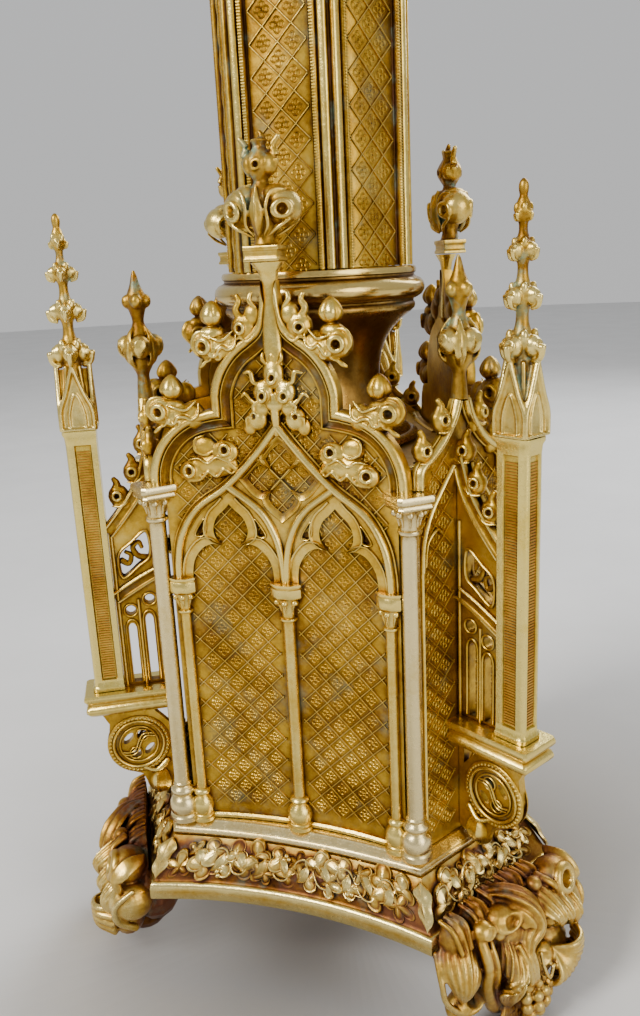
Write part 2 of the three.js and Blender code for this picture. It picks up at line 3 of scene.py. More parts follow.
import bpy
import numpy as np
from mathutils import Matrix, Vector
from mathutils.geometry import delaunay_2d_cdt


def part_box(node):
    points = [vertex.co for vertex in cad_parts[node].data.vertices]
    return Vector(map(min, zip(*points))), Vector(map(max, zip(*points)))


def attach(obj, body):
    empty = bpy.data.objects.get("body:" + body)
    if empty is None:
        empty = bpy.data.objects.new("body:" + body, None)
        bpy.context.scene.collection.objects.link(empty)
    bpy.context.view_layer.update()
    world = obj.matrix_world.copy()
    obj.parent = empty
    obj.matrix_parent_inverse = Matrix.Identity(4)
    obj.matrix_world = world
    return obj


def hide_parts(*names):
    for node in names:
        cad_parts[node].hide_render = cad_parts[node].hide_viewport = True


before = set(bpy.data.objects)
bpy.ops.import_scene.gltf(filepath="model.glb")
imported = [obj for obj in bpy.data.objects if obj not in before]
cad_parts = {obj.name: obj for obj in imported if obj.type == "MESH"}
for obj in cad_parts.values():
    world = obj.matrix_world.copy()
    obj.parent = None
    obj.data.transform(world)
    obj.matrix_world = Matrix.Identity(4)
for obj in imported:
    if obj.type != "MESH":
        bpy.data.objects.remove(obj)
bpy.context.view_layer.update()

# The candelabrum's looks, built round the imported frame. Shapes are worked out in millimetres and turned
# into metres when a piece is made. Pieces that repeat round the axis are drawn facing -Y and then turned.

MM = 0.001
TAU = 2 * math.pi
NO_TRIS = np.zeros((0, 3), int)


def top_of(node):
    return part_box(node)[1][2] / MM


def bottom_of(node):
    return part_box(node)[0][2] / MM


SILL_TOP = top_of("sill_moulding")
SILL_BOTTOM = bottom_of("sill_moulding")
RIM_BOTTOM = bottom_of("base_plate")
PLATE_TOP = top_of("base_plate")
COLUMN_TOP = top_of("corner_column_1")
GABLE_TOP = top_of("main_panel_front")
ROOF_TOP = top_of("roof_plate")
NECK_TOP = top_of("lower_neck")
STEM_TOP = top_of("stem_casing")
KNOP_TOP = top_of("knop")
CROWN_TOP = top_of("arm_crown")
ARM_TOP = top_of("arm_1")
SPINDLE_TOP = top_of("top_spindle")
PIER_TOP = top_of("pier_back")
LEDGE_TOP = bottom_of("pier_back") - 0.3

ARC_CENTRE = 280.4  # the hollow of a wide face: an arc about a point this far in front of the axis
ARC_RADIUS = 219.0
NARROW = 84.5  # distance of a narrow face from the axis
COLUMN_R = 90.0
SIDE_LOBE = (28.0, 251.0, 30.5)  # x, z and outer radius of the gable's lower lobe
TOP_LOBE = (-3.2, 283.2, 32.6)
FRAME_WIDTH = 9.3

WIDE_TURNS = {"front": 0, "right": 120, "left": -120}


# ---------------------------------------------------------------- mesh kit


class Shell:
    """Faces gathered for one piece, with a tone per vertex: 0 in a recess, where it paints shade, and 1 on
    a raised edge, where it is rubbed wear and a painted highlight.
    """

    def __init__(self):
        self.verts, self.quads, self.tris, self.tones, self.count = [], [], [], [], 0

    def add(self, part, tone=0.5, mark=0):
        verts, quads, tris = part
        verts = np.asarray(verts, float).reshape(-1, 3)
        self.verts.append(verts)
        self.tones.append(np.broadcast_to(np.asarray(tone, float).reshape(-1), (len(verts),)))
        for store, faces, size in ((self.quads, quads, 4), (self.tris, tris, 3)):
            faces = np.asarray(faces, int).reshape(-1, size)
            store.append(np.column_stack([faces + self.count, np.full(len(faces), mark)]))
        self.count += len(verts)
        return self

    def arrays(self):
        return np.concatenate(self.verts), np.concatenate(self.quads), np.concatenate(self.tris)

    def lay(self, other, place):
        """Another shell's flat work, laid on a face with its own tones."""
        verts, quads, tris = other.arrays()
        return self.add((place(*verts.T), quads[:, :4], tris[:, :3]), np.concatenate(other.tones))


def looped_skin(rings):
    """A closed skin over rings of points, where the last ring joins the first."""
    grid = np.array(rings)
    return outward(grid.reshape(-1, 3), sheet_faces(grid.shape[0], grid.shape[1], True, True), NO_TRIS)


def spin(points, degrees):
    angle = math.radians(degrees)
    c, s = math.cos(angle), math.sin(angle)
    points = np.asarray(points, float)
    out = points.copy()
    out[..., 0] = points[..., 0] * c - points[..., 1] * s
    out[..., 1] = points[..., 0] * s + points[..., 1] * c
    return out


def sheet_faces(rows, cols, wrap_rows=False, wrap_cols=False):
    i = np.arange(rows if wrap_rows else rows - 1)[:, None]
    j = np.arange(cols if wrap_cols else cols - 1)[None, :]
    a, b = i * cols + j, i * cols + (j + 1) % cols
    k = (i + 1) % rows
    return np.stack([a, b, k * cols + (j + 1) % cols, k * cols + j], -1).reshape(-1, 4)


def fan(ring, centre, reverse=False):
    """Triangles from a ring of indices to a centre index."""
    ring = np.asarray(ring)
    nxt = np.roll(ring, -1)
    tri = np.stack([ring, nxt, np.full(len(ring), centre)], -1)
    return tri[:, ::-1] if reverse else tri


def outward(verts, quads, tris):
    """Turns every face round if the closed part is inside out."""
    halves = np.concatenate([quads[:, [0, 1, 2]], quads[:, [0, 2, 3]], tris]) if len(quads) else tris
    a, b, c = verts[halves[:, 0]], verts[halves[:, 1]], verts[halves[:, 2]]
    if np.einsum("ij,ij->", a - verts.mean(0), np.cross(b, c) - np.cross(verts.mean(0), c - b)) < 0:
        return verts, quads[:, ::-1], tris[:, ::-1]
    return verts, quads, tris


def closed_tube(rings):
    """A skin round rings of points (rows, ring, 3), closed by a fan at each end."""
    rings = np.asarray(rings, float)
    rows, ring = rings.shape[:2]
    verts = np.concatenate([rings.reshape(-1, 3), rings[0].mean(0)[None], rings[-1].mean(0)[None]])
    start = fan(np.arange(ring), rows * ring, True)
    end = fan(np.arange(ring) + (rows - 1) * ring, rows * ring + 1)
    return outward(verts, sheet_faces(rows, ring, wrap_cols=True), np.concatenate([start, end]))


def lathe(profile, sides=48, x=0.0, y=0.0, flute=None):
    """A turned piece from (radius, height) points up its outside. flute(angle, k) scales the radius."""
    profile = np.asarray(profile, float)
    angles = np.arange(sides) / sides * TAU
    radius = np.repeat(profile[:, :1], sides, 1)
    if flute is not None:
        radius = radius * flute(angles[None, :], np.linspace(0, 1, len(profile))[:, None])
    rings = np.stack(
        [x + radius * np.cos(angles), y + radius * np.sin(angles), np.repeat(profile[:, 1:], sides, 1)], -1
    )
    return closed_tube(rings)


def loop_lathe(profile, sides=64):
    """A turned ring: its profile closes on itself."""
    profile = np.asarray(profile, float)
    angles = np.arange(sides) / sides * TAU
    rings = np.stack(
        [
            profile[:, :1] * np.cos(angles),
            profile[:, :1] * np.sin(angles),
            np.repeat(profile[:, 1:], sides, 1),
        ],
        -1,
    )
    return rings.reshape(-1, 3), sheet_faces(len(profile), sides, True, True), NO_TRIS


def spline(points, count, closed=False):
    """A smooth line through points, by Catmull-Rom."""
    points = np.asarray(points, float)
    n = len(points)
    padded = (
        np.concatenate([points[-1:], points, points[:2]])
        if closed
        else np.concatenate([2 * points[:1] - points[1:2], points, 2 * points[-1:] - points[-2:-1]])
    )
    spans = n if closed else n - 1
    t = np.linspace(0, spans, count, endpoint=not closed)
    k = np.minimum(t.astype(int), spans - 1)
    f = (t - k)[:, None]
    a, b, c, d = padded[k], padded[k + 1], padded[k + 2], padded[k + 3]
    return 0.5 * (2 * b + (c - a) * f + (2 * a - 5 * b + 4 * c - d) * f**2 + (3 * b - a - 3 * c + d) * f**3)


def unit(v):
    v = np.asarray(v, float)
    return v / np.maximum(np.linalg.norm(v, axis=-1, keepdims=True), 1e-9)


def frames(path, up):
    """Directions across and above a path, with `above` kept near up."""
    tangent = unit(np.gradient(path, axis=0))
    across = unit(np.cross(tangent, np.asarray(up, float)))
    return across, unit(np.cross(across, tangent))


def rod(path, radius, sides=10, up=(0, 0.01, 1), squash=1.0):
    """A round bar along a path, of changing radius, with domed ends."""
    path = np.asarray(path, float)
    radius = np.broadcast_to(np.asarray(radius, float), (len(path),)).copy()
    across, above = frames(path, up)
    direction = unit(np.gradient(path, axis=0))
    angles = np.arange(sides) / sides * TAU
    dome = np.array([0.97, 0.75, 0.35])
    first = [path[0] - direction[0] * radius[0] * d * 0.6 for d in dome]
    last = [path[-1] + direction[-1] * radius[-1] * d * 0.6 for d in dome]
    spots = np.concatenate([first, path, last[::-1]])
    thin = np.sqrt(1 - dome**2)
    sizes = np.concatenate([radius[0] * thin, radius, radius[-1] * thin[::-1]])
    across = np.concatenate([[across[0]] * 3, across, [across[-1]] * 3])
    above = np.concatenate([[above[0]] * 3, above, [above[-1]] * 3])
    rings = (
        spots[:, None]
        + sizes[:, None, None] * across[:, None] * np.cos(angles)[None, :, None]
        + sizes[:, None, None] * above[:, None] * np.sin(angles)[None, :, None] * squash
    )
    return closed_tube(rings)


def swept(points, start, end, count=18, sides=12):
    """A round stem through points, changing from one radius to another."""
    return rod(spline(points, count), np.linspace(start, end, count), sides)


def ball(centre, radii, sides=14, rings=9):
    """An ellipsoid."""
    radii = np.broadcast_to(np.asarray(radii, float), (3,))
    lat = np.linspace(-math.pi / 2 * 0.93, math.pi / 2 * 0.93, rings)
    lon = np.arange(sides) / sides * TAU
    grid = np.stack(
        [
            np.cos(lat)[:, None] * np.cos(lon),
            np.cos(lat)[:, None] * np.sin(lon),
            np.repeat(np.sin(lat)[:, None], sides, 1),
        ],
        -1,
    )
    part = closed_tube(grid)
    part[0][-2:] = [[0, 0, -1], [0, 0, 1]]
    return part[0] * radii + np.asarray(centre, float), part[1], part[2]


def moved(part, shift=(0, 0, 0), turn=0.0):
    return spin(part[0], turn) + np.asarray(shift, float), part[1], part[2]


def tilted(part, angle, axis="x", pivot=(0, 0, 0)):
    """A part turned about an axis through pivot, in degrees."""
    a, b = {"x": (1, 2), "y": (2, 0), "z": (0, 1)}[axis]
    c, s = math.cos(math.radians(angle)), math.sin(math.radians(angle))
    points = np.asarray(part[0], float) - pivot
    out = points.copy()
    out[:, a] = points[:, a] * c - points[:, b] * s
    out[:, b] = points[:, a] * s + points[:, b] * c
    return out + pivot, part[1], part[2]


LEAF_SHARE, FOOT_SHARE = 0.33, 0.7  # of a casting's triangles, so that no piece is over 200,000


def modified(mesh, add_modifiers):
    """A mesh's vertices, quads and triangles once its modifiers have run. The mesh is used up."""
    holder = bpy.data.objects.new("holder", mesh)
    bpy.context.scene.collection.objects.link(holder)
    add_modifiers(holder.modifiers)
    made = holder.evaluated_get(bpy.context.evaluated_depsgraph_get()).to_mesh()
    verts = np.empty(len(made.vertices) * 3)
    made.vertices.foreach_get("co", verts)
    faces = np.empty(len(made.loops), np.int32)
    made.loops.foreach_get("vertex_index", faces)
    sizes = np.empty(len(made.polygons), np.int32)
    made.polygons.foreach_get("loop_total", sizes)
    starts = np.concatenate([[0], np.cumsum(sizes)[:-1]])
    quads = np.stack([faces[starts[sizes == 4] + k] for k in range(4)], -1)
    tris = np.stack([faces[starts[sizes == 3] + k] for k in range(3)], -1)
    bpy.data.objects.remove(holder)
    bpy.data.meshes.remove(mesh)
    return verts.reshape(-1, 3) / MM, quads, tris


def casting(parts, voxel, smooth=2, eyes=(), keep=0.6):
    """Closed parts melted into one skin, as one casting: remeshed, smoothed, and thinned where it is flat.

    eyes lists (centre, normal, radius, depth) of the round hollows pressed into it, and keep is the share
    of its triangles that stays."""

    def melt(modifiers):
        remesh = modifiers.new("remesh", "REMESH")
        remesh.mode, remesh.voxel_size, remesh.adaptivity = "VOXEL", voxel * MM, 0
        soften = modifiers.new("soften", "SMOOTH")
        soften.factor, soften.iterations = 0.5, smooth

    def thin(modifiers):
        modifiers.new("thin", "DECIMATE").ratio = keep

    shell = Shell()
    for part in parts:
        shell.add(part)
    verts, quads, tris = modified(mesh_of(shell, "melt"), melt)
    for centre, normal, radius, depth in eyes:
        normal = unit(normal)
        from_eye = verts - np.asarray(centre, float)
        along = from_eye @ normal
        off = np.linalg.norm(from_eye - along[:, None] * normal, axis=1) / radius
        inside = (off < 1) & (np.abs(along) < 3.5)
        verts[inside] -= normal * (depth * (1 - off[inside] ** 2))[:, None]
    return modified(mesh_of(Shell().add((verts, quads, tris)), "thin"), thin)


def mesh_of(shell, name):
    verts, quads, tris = shell.arrays()
    mesh = bpy.data.meshes.new(name)
    mesh.vertices.add(len(verts))
    mesh.vertices.foreach_set("co", (verts * MM).ravel())
    loops = np.concatenate([quads[:, :4].ravel(), tris[:, :3].ravel()]).astype(np.int32)
    mesh.loops.add(len(loops))
    mesh.loops.foreach_set("vertex_index", loops)
    sizes = np.concatenate([np.full(len(quads), 4), np.full(len(tris), 3)])
    starts = np.concatenate([[0], np.cumsum(sizes)[:-1]]).astype(np.int32)
    mesh.polygons.add(len(sizes))
    mesh.polygons.foreach_set("loop_start", starts)
    mesh.polygons.foreach_set("material_index", np.concatenate([quads[:, 4], tris[:, 3]]).astype(np.int32))
    mesh.update(calc_edges=True)
    tone = mesh.attributes.new("tone", "FLOAT", "POINT")
    tone.data.foreach_set("value", np.concatenate(shell.tones).astype(np.float32))
    return mesh


def finish_mesh(shell, name, materials, sharp=38):
    mesh = mesh_of(shell, name)
    for material in materials:
        mesh.materials.append(material)
    mesh.polygons.foreach_set("use_smooth", np.ones(len(mesh.polygons), bool))
    mesh.set_sharp_from_angle(angle=math.radians(sharp))
    return mesh


def piece(name, node, shell, slot, materials, turn=0, mesh=None, sharp=38):
    """One visible piece that stands for a CAD node."""
    mesh = mesh or finish_mesh(shell, name, materials, sharp)
    made = bpy.data.objects.new(name, mesh)
    made.rotation_euler[2] = math.radians(turn)
    bpy.context.scene.collection.objects.link(made)
    bpy.context.view_layer.update()
    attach(made, "root")
    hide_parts(node)
    return made


# ---------------------------------------------------------------- flat work, laid on a face
# Relief is drawn flat as (x to the right, z up, h out of the face) and then laid on the face it belongs to.


def lay(part, place):
    flat = np.asarray(part[0], float)
    return place(flat[:, 0], flat[:, 1], flat[:, 2]), part[1], part[2]


def wide(x, z, h):
    """On the hollow front face."""
    angle = np.arcsin(np.clip(x / ARC_RADIUS, -1, 1))
    radius = ARC_RADIUS - h
    return np.stack([radius * np.sin(angle), radius * np.cos(angle) - ARC_CENTRE, z], -1)


def narrow(x, z, h):
    """On a flat narrow face, facing +X."""
    return np.stack([NARROW + h, x, z], -1)


def moulding(path, profile, loop=False, widths=1.0):
    """A moulding run along a flat path. The profile is a closed section of (across, height) points."""
    path, profile = np.asarray(path, float), np.asarray(profile, float)
    before = np.roll(path, 1, 0) if loop else np.concatenate([2 * path[:1] - path[1:2], path[:-1]])
    after = np.roll(path, -1, 0) if loop else np.concatenate([path[1:], 2 * path[-1:] - path[-2:-1]])
    into, out = unit(path - before), unit(after - path)
    along = unit(into + out)
    mitre = np.clip(1 / np.maximum(np.einsum("ij,ij->i", along, out), 0.2), 1, 1.8)
    side = np.stack([-along[:, 1], along[:, 0]], -1) * (mitre * widths)[:, None]
    across = path[:, None] + side[:, None] * profile[None, :, :1]
    height = np.broadcast_to(profile[None, :, 1:], across.shape[:2] + (1,))
    rings = np.concatenate([across, height], -1)
    if not loop:
        return closed_tube(rings)
    return looped_skin(rings)


def half_round(width, height, sunk=0.6, steps=6):
    """The section of a roll standing on a surface."""
    turn = np.linspace(0, math.pi, steps + 1)
    roll = np.stack([np.cos(turn) * width / 2, np.sin(turn) * height], -1)
    return np.concatenate([roll, [[-width / 2, -sunk], [width / 2, -sunk]]])


def within(points, loop):
    """Whether each point lies inside a closed outline."""
    x, z = points[:, :1], points[:, 1:]
    x0, z0 = loop.T
    x1, z1 = np.roll(loop, -1, 0).T
    crosses = (z0 > z) != (z1 > z)
    at = x0 + (z - z0) * (x1 - x0) / np.where(z1 == z0, 1e-9, z1 - z0)
    return (crosses & (x < at)).sum(1) % 2 == 1


def plate(outline, holes, low, high):
    """A flat plate with holes, drawn in (x, z) and standing from height low to high."""
    loops = [np.asarray(outline, float)] + [np.asarray(hole, float) for hole in holes]
    points = np.concatenate(loops)
    starts = np.cumsum([0] + [len(ring) for ring in loops[:-1]])
    edges = [(k + i, k + (i + 1) % len(ring)) for k, ring in zip(starts, loops) for i in range(len(ring))]
    spots, _, cells, _, _, _ = delaunay_2d_cdt([Vector(p) for p in points], edges, [], 0, 1e-6)
    tri = np.array([cell for cell in cells if len(cell) == 3], int)
    flat = np.array([[p.x, p.y] for p in spots])
    middle = flat[tri].mean(1)
    tri = tri[within(middle, loops[0]) & ~np.any([within(middle,
        hole) for hole in loops[1:]] or [middle[:, 0] > 1e9], 0)]
    n = len(flat)
    a, b, c = flat[tri[:, 0]], flat[tri[:, 1]], flat[tri[:, 2]]
    turned = np.cross(b - a, c - a) < 0
    tri[turned] = tri[turned][:, ::-1]
    edges = np.concatenate([tri[:, [0, 1]], tri[:, [1, 2]], tri[:, [2, 0]]])
    known = {(i, j) for i, j in edges.tolist()}
    rim = np.array([(i, j) for i, j in edges.tolist() if (j, i) not in known])
    verts = np.concatenate([np.column_stack([flat, np.full(n, high)]),
        np.column_stack([flat, np.full(n, low)])])
    walls = np.stack([rim[:, 0], rim[:, 0] + n, rim[:, 1] + n, rim[:, 1]], -1)
    return outward(verts, walls, np.concatenate([tri, tri[:, ::-1] + n]))


def torus(centre, major, minor, normal=(0, 0, 1), sides=16, tube=8, squash=1.0):
    normal = unit(normal)
    first = unit(np.cross(normal, [0.3, 1, 0.2]))
    second = np.cross(normal, first)
    a = np.arange(sides) / sides * TAU
    b = np.arange(tube) / tube * TAU
    out = np.cos(a)[:, None] * first + squash * np.sin(a)[:, None] * second
    rings = (
        np.asarray(centre, float)
        + out[:, None] * (major + minor * np.cos(b))[None, :, None]
        + normal * (minor * np.sin(b))[None, :, None]
    )
    return looped_skin(rings)


def stamp(part, shifts):
    """Copies of a part at many places."""
    verts, quads, tris = part
    shifts = np.asarray(shifts, float).reshape(-1, 3)
    steps = (np.arange(len(shifts)) * len(verts))[:, None, None]
    return (
        (verts[None] + shifts[:, None]).reshape(-1, 3),
        (quads[None] + steps).reshape(-1, 4),
        (tris[None] + steps).reshape(-1, 3),
    )


def mirror(part):
    """A flat part on the other side of the middle line."""
    return part[0] * [-1, 1, 1], part[1][:, ::-1], part[2][:, ::-1]


def both(part):
    return [part, mirror(part)]


def turned_flat(profile, x, z=0.0, h=0.0, sides=24, squash=1.0, flute=None):
    """A lathe whose axis runs up the face at x, standing h out of it."""
    verts, quads, tris = lathe(profile, sides, flute=flute)
    flat = np.stack([verts[:, 0] + x, verts[:, 2] + z, -verts[:, 1] * squash + h], -1)
    return outward(flat, quads, tris)


LOZENGE = 5.4  # half a diagonal of one lozenge of the diaper pattern


def diaper(inside, bounds, half, place_h=0.0, ridge=0.75, rise=0.55, rings=True):
    """The diaper on the ground of a face: crossed ridges, and four small rings in each lozenge."""
    x0, x1, z0, z1 = bounds
    shell = Shell()
    reach = (x1 - x0) + (z1 - z0)
    for lean in (1, -1):
        for k in range(-int(reach / half / 2) - 2, int(reach / half / 2) + 3):
            t = np.arange(0, x1 - x0 + 0.01, 0.4)
            x = x0 + t
            z = (z0 + z1) / 2 + lean * (x - (x0 + x1) / 2) + 2 * half * k
            kept = inside(x, z) & (z > z0) & (z < z1)
            edges = np.flatnonzero(np.diff(np.concatenate([[0], kept.astype(int), [0]])))
            for start, stop in zip(edges[::2], edges[1::2]):
                if stop - start < 5:
                    continue
                n = max(2, int((stop - start) * 0.4 / 6) + 1)
                pick = np.linspace(start, stop - 1, n).astype(int)
                line = np.stack([x[pick], z[pick]], -1)
                w = ridge / 2
                section = [(w, -0.4), (w, 0.05), (w * 0.35, rise), (-w * 0.35, rise), (-w, 0.05),
                    (-w, -0.4)]
                shell.add(moulding(line, np.array(section) + [0, place_h]), 0.66)
    if rings:
        spots = []
        mid_x, mid_z = (x0 + x1) / 2, (z0 + z1) / 2
        for i in range(-int(reach / half), int(reach / half) + 1):
            for j in range(-int(reach / half), int(reach / half) + 1):
                if (i + j) % 2 == 0:
                    continue
                x, z = mid_x + i * half, mid_z + j * half
                around = np.array([[0, 0], [2.7, 0], [-2.7, 0], [0, 2.7], [0, -2.7]]) * half / LOZENGE
                if x0 < x < x1 and z0 < z < z1 and inside(x + around[:, 0], z + around[:, 1]).all():
                    spots.append((x, z, place_h))
        if spots:
            k = half / LOZENGE
            one = torus((0, 0, 0.05), 1.08 * k, 0.36 * k, sides=9, tube=4)
            for dx, dz in ((1.6, 0), (-1.6, 0), (0, 1.6), (0, -1.6)):
                shell.add(stamp(one, np.array(spots) + [dx * k, dz * k, 0]), 0.5)
            # a flat disc at the darkest tone in each lozenge's middle: painted shade standing in for a sunk
            # centre
            shell.add(stamp(ball((0, 0, 0), (0.75 * k, 0.75 * k, 0.12), 6, 3), spots), 0.0)
    return shell


def leaf(path, width, lobes=3, thick=1.2, cup=0.5, rows=22, cols=9, depth=0.3, wave=0.0, point=0.75,
    up=(0, 0, 1), ribs=0):
    """A thick leaf along a path: lobed edges that stand up, a midrib, and a slight wave."""
    path = spline(path, rows)
    t = np.linspace(0, 1, rows)
    across, above = frames(path, up)
    shape = np.sin(math.pi * np.clip(t, 0, 1) ** point) ** 0.75
    notch = 1 - depth * np.abs(np.cos(math.pi * lobes * t)) ** 2
    half = np.maximum(width / 2 * shape * notch, 0.12)
    u = np.linspace(-1, 1, cols)
    lift = cup * (np.abs(u) ** 2) * width / 2 + 0.35 * thick * np.exp(-((u / 0.16) ** 2))
    veins = 0.16 * thick * np.cos(TAU * lobes * (t[:, None] + 0.18 * np.abs(u)[None, :]))
    rise = lift[None, :] * shape[:, None] + veins + wave * np.sin(TAU * lobes * t)[:, None] * (u**2)[None,
        :]
    rise = rise + 0.5 * np.cos(TAU * ribs * u)[None, :] * (ribs > 0)
    edge = np.sqrt(np.maximum(1 - u**2 * 0.8, 0)) * thick / 2
    spots = path[:, None] + across[:, None] * (half[:, None] * u)[..., None]
    top = spots + above[:, None] * (rise + edge[None, :])[..., None]
    base = spots + above[:, None] * (rise - edge[None, :])[..., None]
    return closed_tube(np.concatenate([top, base[:, ::-1]], 1))


def wire(path, radius, count=40, taper=0.35, sides=8, loop=False):
    """A raised line of round section along a smooth path, thinner at its ends."""
    line = spline(path, count, loop)
    if not loop:
        t = np.linspace(0, 1, count)
        size = radius * (taper + (1 - taper) * np.sin(math.pi * t) ** 0.6)
        return rod(line, size, sides)
    a = np.arange(sides) / sides * TAU
    before, after = np.roll(line, 1, 0), np.roll(line, -1, 0)
    tangent = unit(after - before)
    across = unit(np.cross(tangent, [0.01, 0.02, 1]))
    above = np.cross(across, tangent)
    rings = line[:, None] + radius * (
        across[:, None] * np.cos(a)[None, :, None] + above[:, None] * np.sin(a)[None, :, None]
    )
    return looped_skin(rings)


def bud(x, z, top, width, h=0.0, turns=5):
    """A closed tulip bud on a short neck, standing on z."""
    tall = top - z
    profile = [
        (2.4, -1), (2.0, tall * 0.12), (1.9, tall * 0.2), (width * 0.38, tall * 0.3),
        (width * 0.5, tall * 0.48), (width * 0.46, tall * 0.66), (width * 0.3, tall * 0.86),
        (width * 0.1, tall * 0.98), (0.15, tall),
    ]

    def flute(angle, k):
        return 0.9 + 0.2 * np.abs(np.cos(turns / 2 * angle)) ** 0.7 * np.sin(math.pi * k)

    return turned_flat(spline(profile, 22), x, z, h, 30, 0.9, flute)


# ---------------------------------------------------------------- wide faces


def wall_half(z):
    """Half the width of a wide face's wall at height z, behind the gable's frame."""
    z = np.asarray(z, float)
    x1, z1, _ = SIDE_LOBE
    x2, z2, _ = TOP_LOBE
    low = x1 + np.sqrt(np.maximum(25.9**2 - (z - z1) ** 2, 0))
    high = x2 + np.sqrt(np.maximum(27.8**2 - (z - z2) ** 2, 0))
    low = np.where(z - z1 < 25.9, low, 0)
    high = np.where(np.abs(z - z2) < 27.6, high, 2.2)
    return np.where(z <= z1, 52.6, np.maximum(low, high))


def wall_slab():
    """The cast wall: a sheet with a front and a back, from the sill up into the gable."""
    rows = np.concatenate([np.linspace(SILL_TOP + 0.3, 250, 18), np.linspace(252, 311.5, 44)])
    u = np.linspace(-1, 1, 29)
    half = wall_half(rows)[:, None]
    height = np.repeat(rows[:, None], len(u), 1)
    front = np.stack([half * u, height, np.zeros_like(height)], -1)
    back = np.stack([half * u[::-1], height, np.full_like(height, -3.0)], -1)
    return closed_tube(np.concatenate([front, back], 1))


def gable_frame():
    """The moulded band up one side of the gable: roll, fillet and cove, mitred between its two lobes."""
    section = [
        (0.0, -1.5), (0.0, 0.7), (0.05, 1.25), (0.1, 1.2), (0.14, 0.6), (0.2, 0.35), (0.3, 0.45),
        (0.4, 1.0), (0.46, 1.9), (0.48, 2.3), (0.52, 2.3), (0.54, 1.8), (0.56, 1.8), (0.59, 2.8),
        (0.65, 3.4), (0.74, 3.7), (0.84, 3.6), (0.93, 3.1), (0.98, 2.3), (1.0, 1.4), (1.0, -1.5),
    ]
    cusp, notch = np.array([19.6, 273.4]), np.array([28.9, 282.0])
    stalk = [np.array(p) for p in ((2.7, 307.4), (5.7, 318.5), (0.0, 310.6), (3.5, 334.0))]
    first, second = [], []
    for t, h in section:
        mitre = cusp + (notch - cusp) * t
        r1 = SIDE_LOBE[2] - FRAME_WIDTH * (1 - t)
        r2 = TOP_LOBE[2] - (FRAME_WIDTH + 0.3) * (1 - t)
        a1 = np.radians(np.linspace(-4, 80, 16))
        one = np.stack([SIDE_LOBE[0] + r1 * np.cos(a1), SIDE_LOBE[1] + r1 * np.sin(a1)], -1)
        one = np.concatenate([one, (one[-1:] + mitre) / 2 + [[0, 0.2]], mitre[None]])
        a2 = np.radians(np.linspace(9, 60, 12))
        two = np.stack([TOP_LOBE[0] + r2 * np.cos(a2), TOP_LOBE[1] + r2 * np.sin(a2)], -1)
        rise = spline([two[-2], two[-1], stalk[0] + (stalk[1] - stalk[0]) * t,
            stalk[2] + (stalk[3] - stalk[2]) * t], 16)
        two = np.concatenate([mitre[None], (mitre[None] + two[:1]) / 2, two[:-1], rise[5:]])
        first.append(np.column_stack([one, np.full(len(one), h)]))
        second.append(np.column_stack([two, np.full(len(two), h)]))
    parts = [closed_tube(np.array(side).transpose(1, 0, 2)) for side in (first, second)]
    return [q for p in parts for q in both(p)]


LANCET = 24.6  # x of the middle of a lancet
TREFOIL_SIDE = [(18.6, 203.5), (18.8, 208), (17.6, 214), (14, 219.3), (9.5, 221.6), (4.6, 221.4)]
TREFOIL_TOP = [(4.6, 221.4), (7.2, 224.6), (7.9, 229), (6, 234), (2.6, 237.2), (0, 240)]
OGEE = [(49.6, 204.8), (49.2, 214), (46.6, 226), (39, 238), (24.4, 248.4), (11, 261.5), (0, 274.5)]
INNER_RIB = [(0.4, 204.8), (1, 214), (3.6, 226), (10.2, 237.4), (24.4, 248.4)]
RIB = [
    (2.9, -0.6), (2.9, 1.0), (2.5, 1.35), (2.0, 1.2), (1.75, 1.9), (1.4, 2.8), (0.75, 3.5), (0, 3.7),
    (-0.75, 3.5), (-1.4, 2.8), (-1.75, 1.9), (-2.0, 1.2), (-2.5, 1.35), (-2.9, 1.0), (-2.9, -0.6),
]


def lancet_tracery():
    """The plate with a cusped opening that fills the head of a lancet, and its coved edges."""
    side, top = spline(TREFOIL_SIDE, 14), spline(TREFOIL_TOP, 14)
    right = np.concatenate([side, top[1:]])
    opening = np.concatenate([right, (right * [-1, 1])[::-1][1:]])
    outer = [(-23, 203.5), (-22.6, 222), (-15, 236), (0, 247.5), (15, 236), (22.6, 222), (23, 203.5)]
    outline = np.concatenate([np.array(outer), opening]) + [LANCET, 0]
    eye = np.array([(11.6, 233.5), (16.4, 226.2), (13.2, 225.3), (11.3, 228)])
    eyes = [eye + [LANCET, 0], (eye * [-1, 1])[::-1] + [LANCET, 0]]
    parts = [plate(outline, eyes, -0.4, 1.25)]
    cove = [(0, -0.4), (0, 0.55), (0.5, 0.85), (1.0, 0.5), (2.2, 0.75), (3.4, 1.3), (3.9, 2.0),
        (4.5, 2.1), (4.8, 1.2), (4.8, -0.4)]
    narrowing = np.clip(np.linspace(3.4, 0.05, 14), 0, 1)
    for flip in (1, -1):
        for line, widths in ((side, narrowing), (top, narrowing[::-1])):
            path = line * [flip, 1] + [LANCET, 0]
            parts.append(moulding(path, np.array(cove) * [-flip, 1], widths=widths))
    rim = half_round(0.8, 0.7)
    for hole in eyes:
        ring = moulding(spline(hole, 16, True), rim, True)
        parts.append((ring[0] + [0, 0, 1.2], ring[1], ring[2]))
    return parts


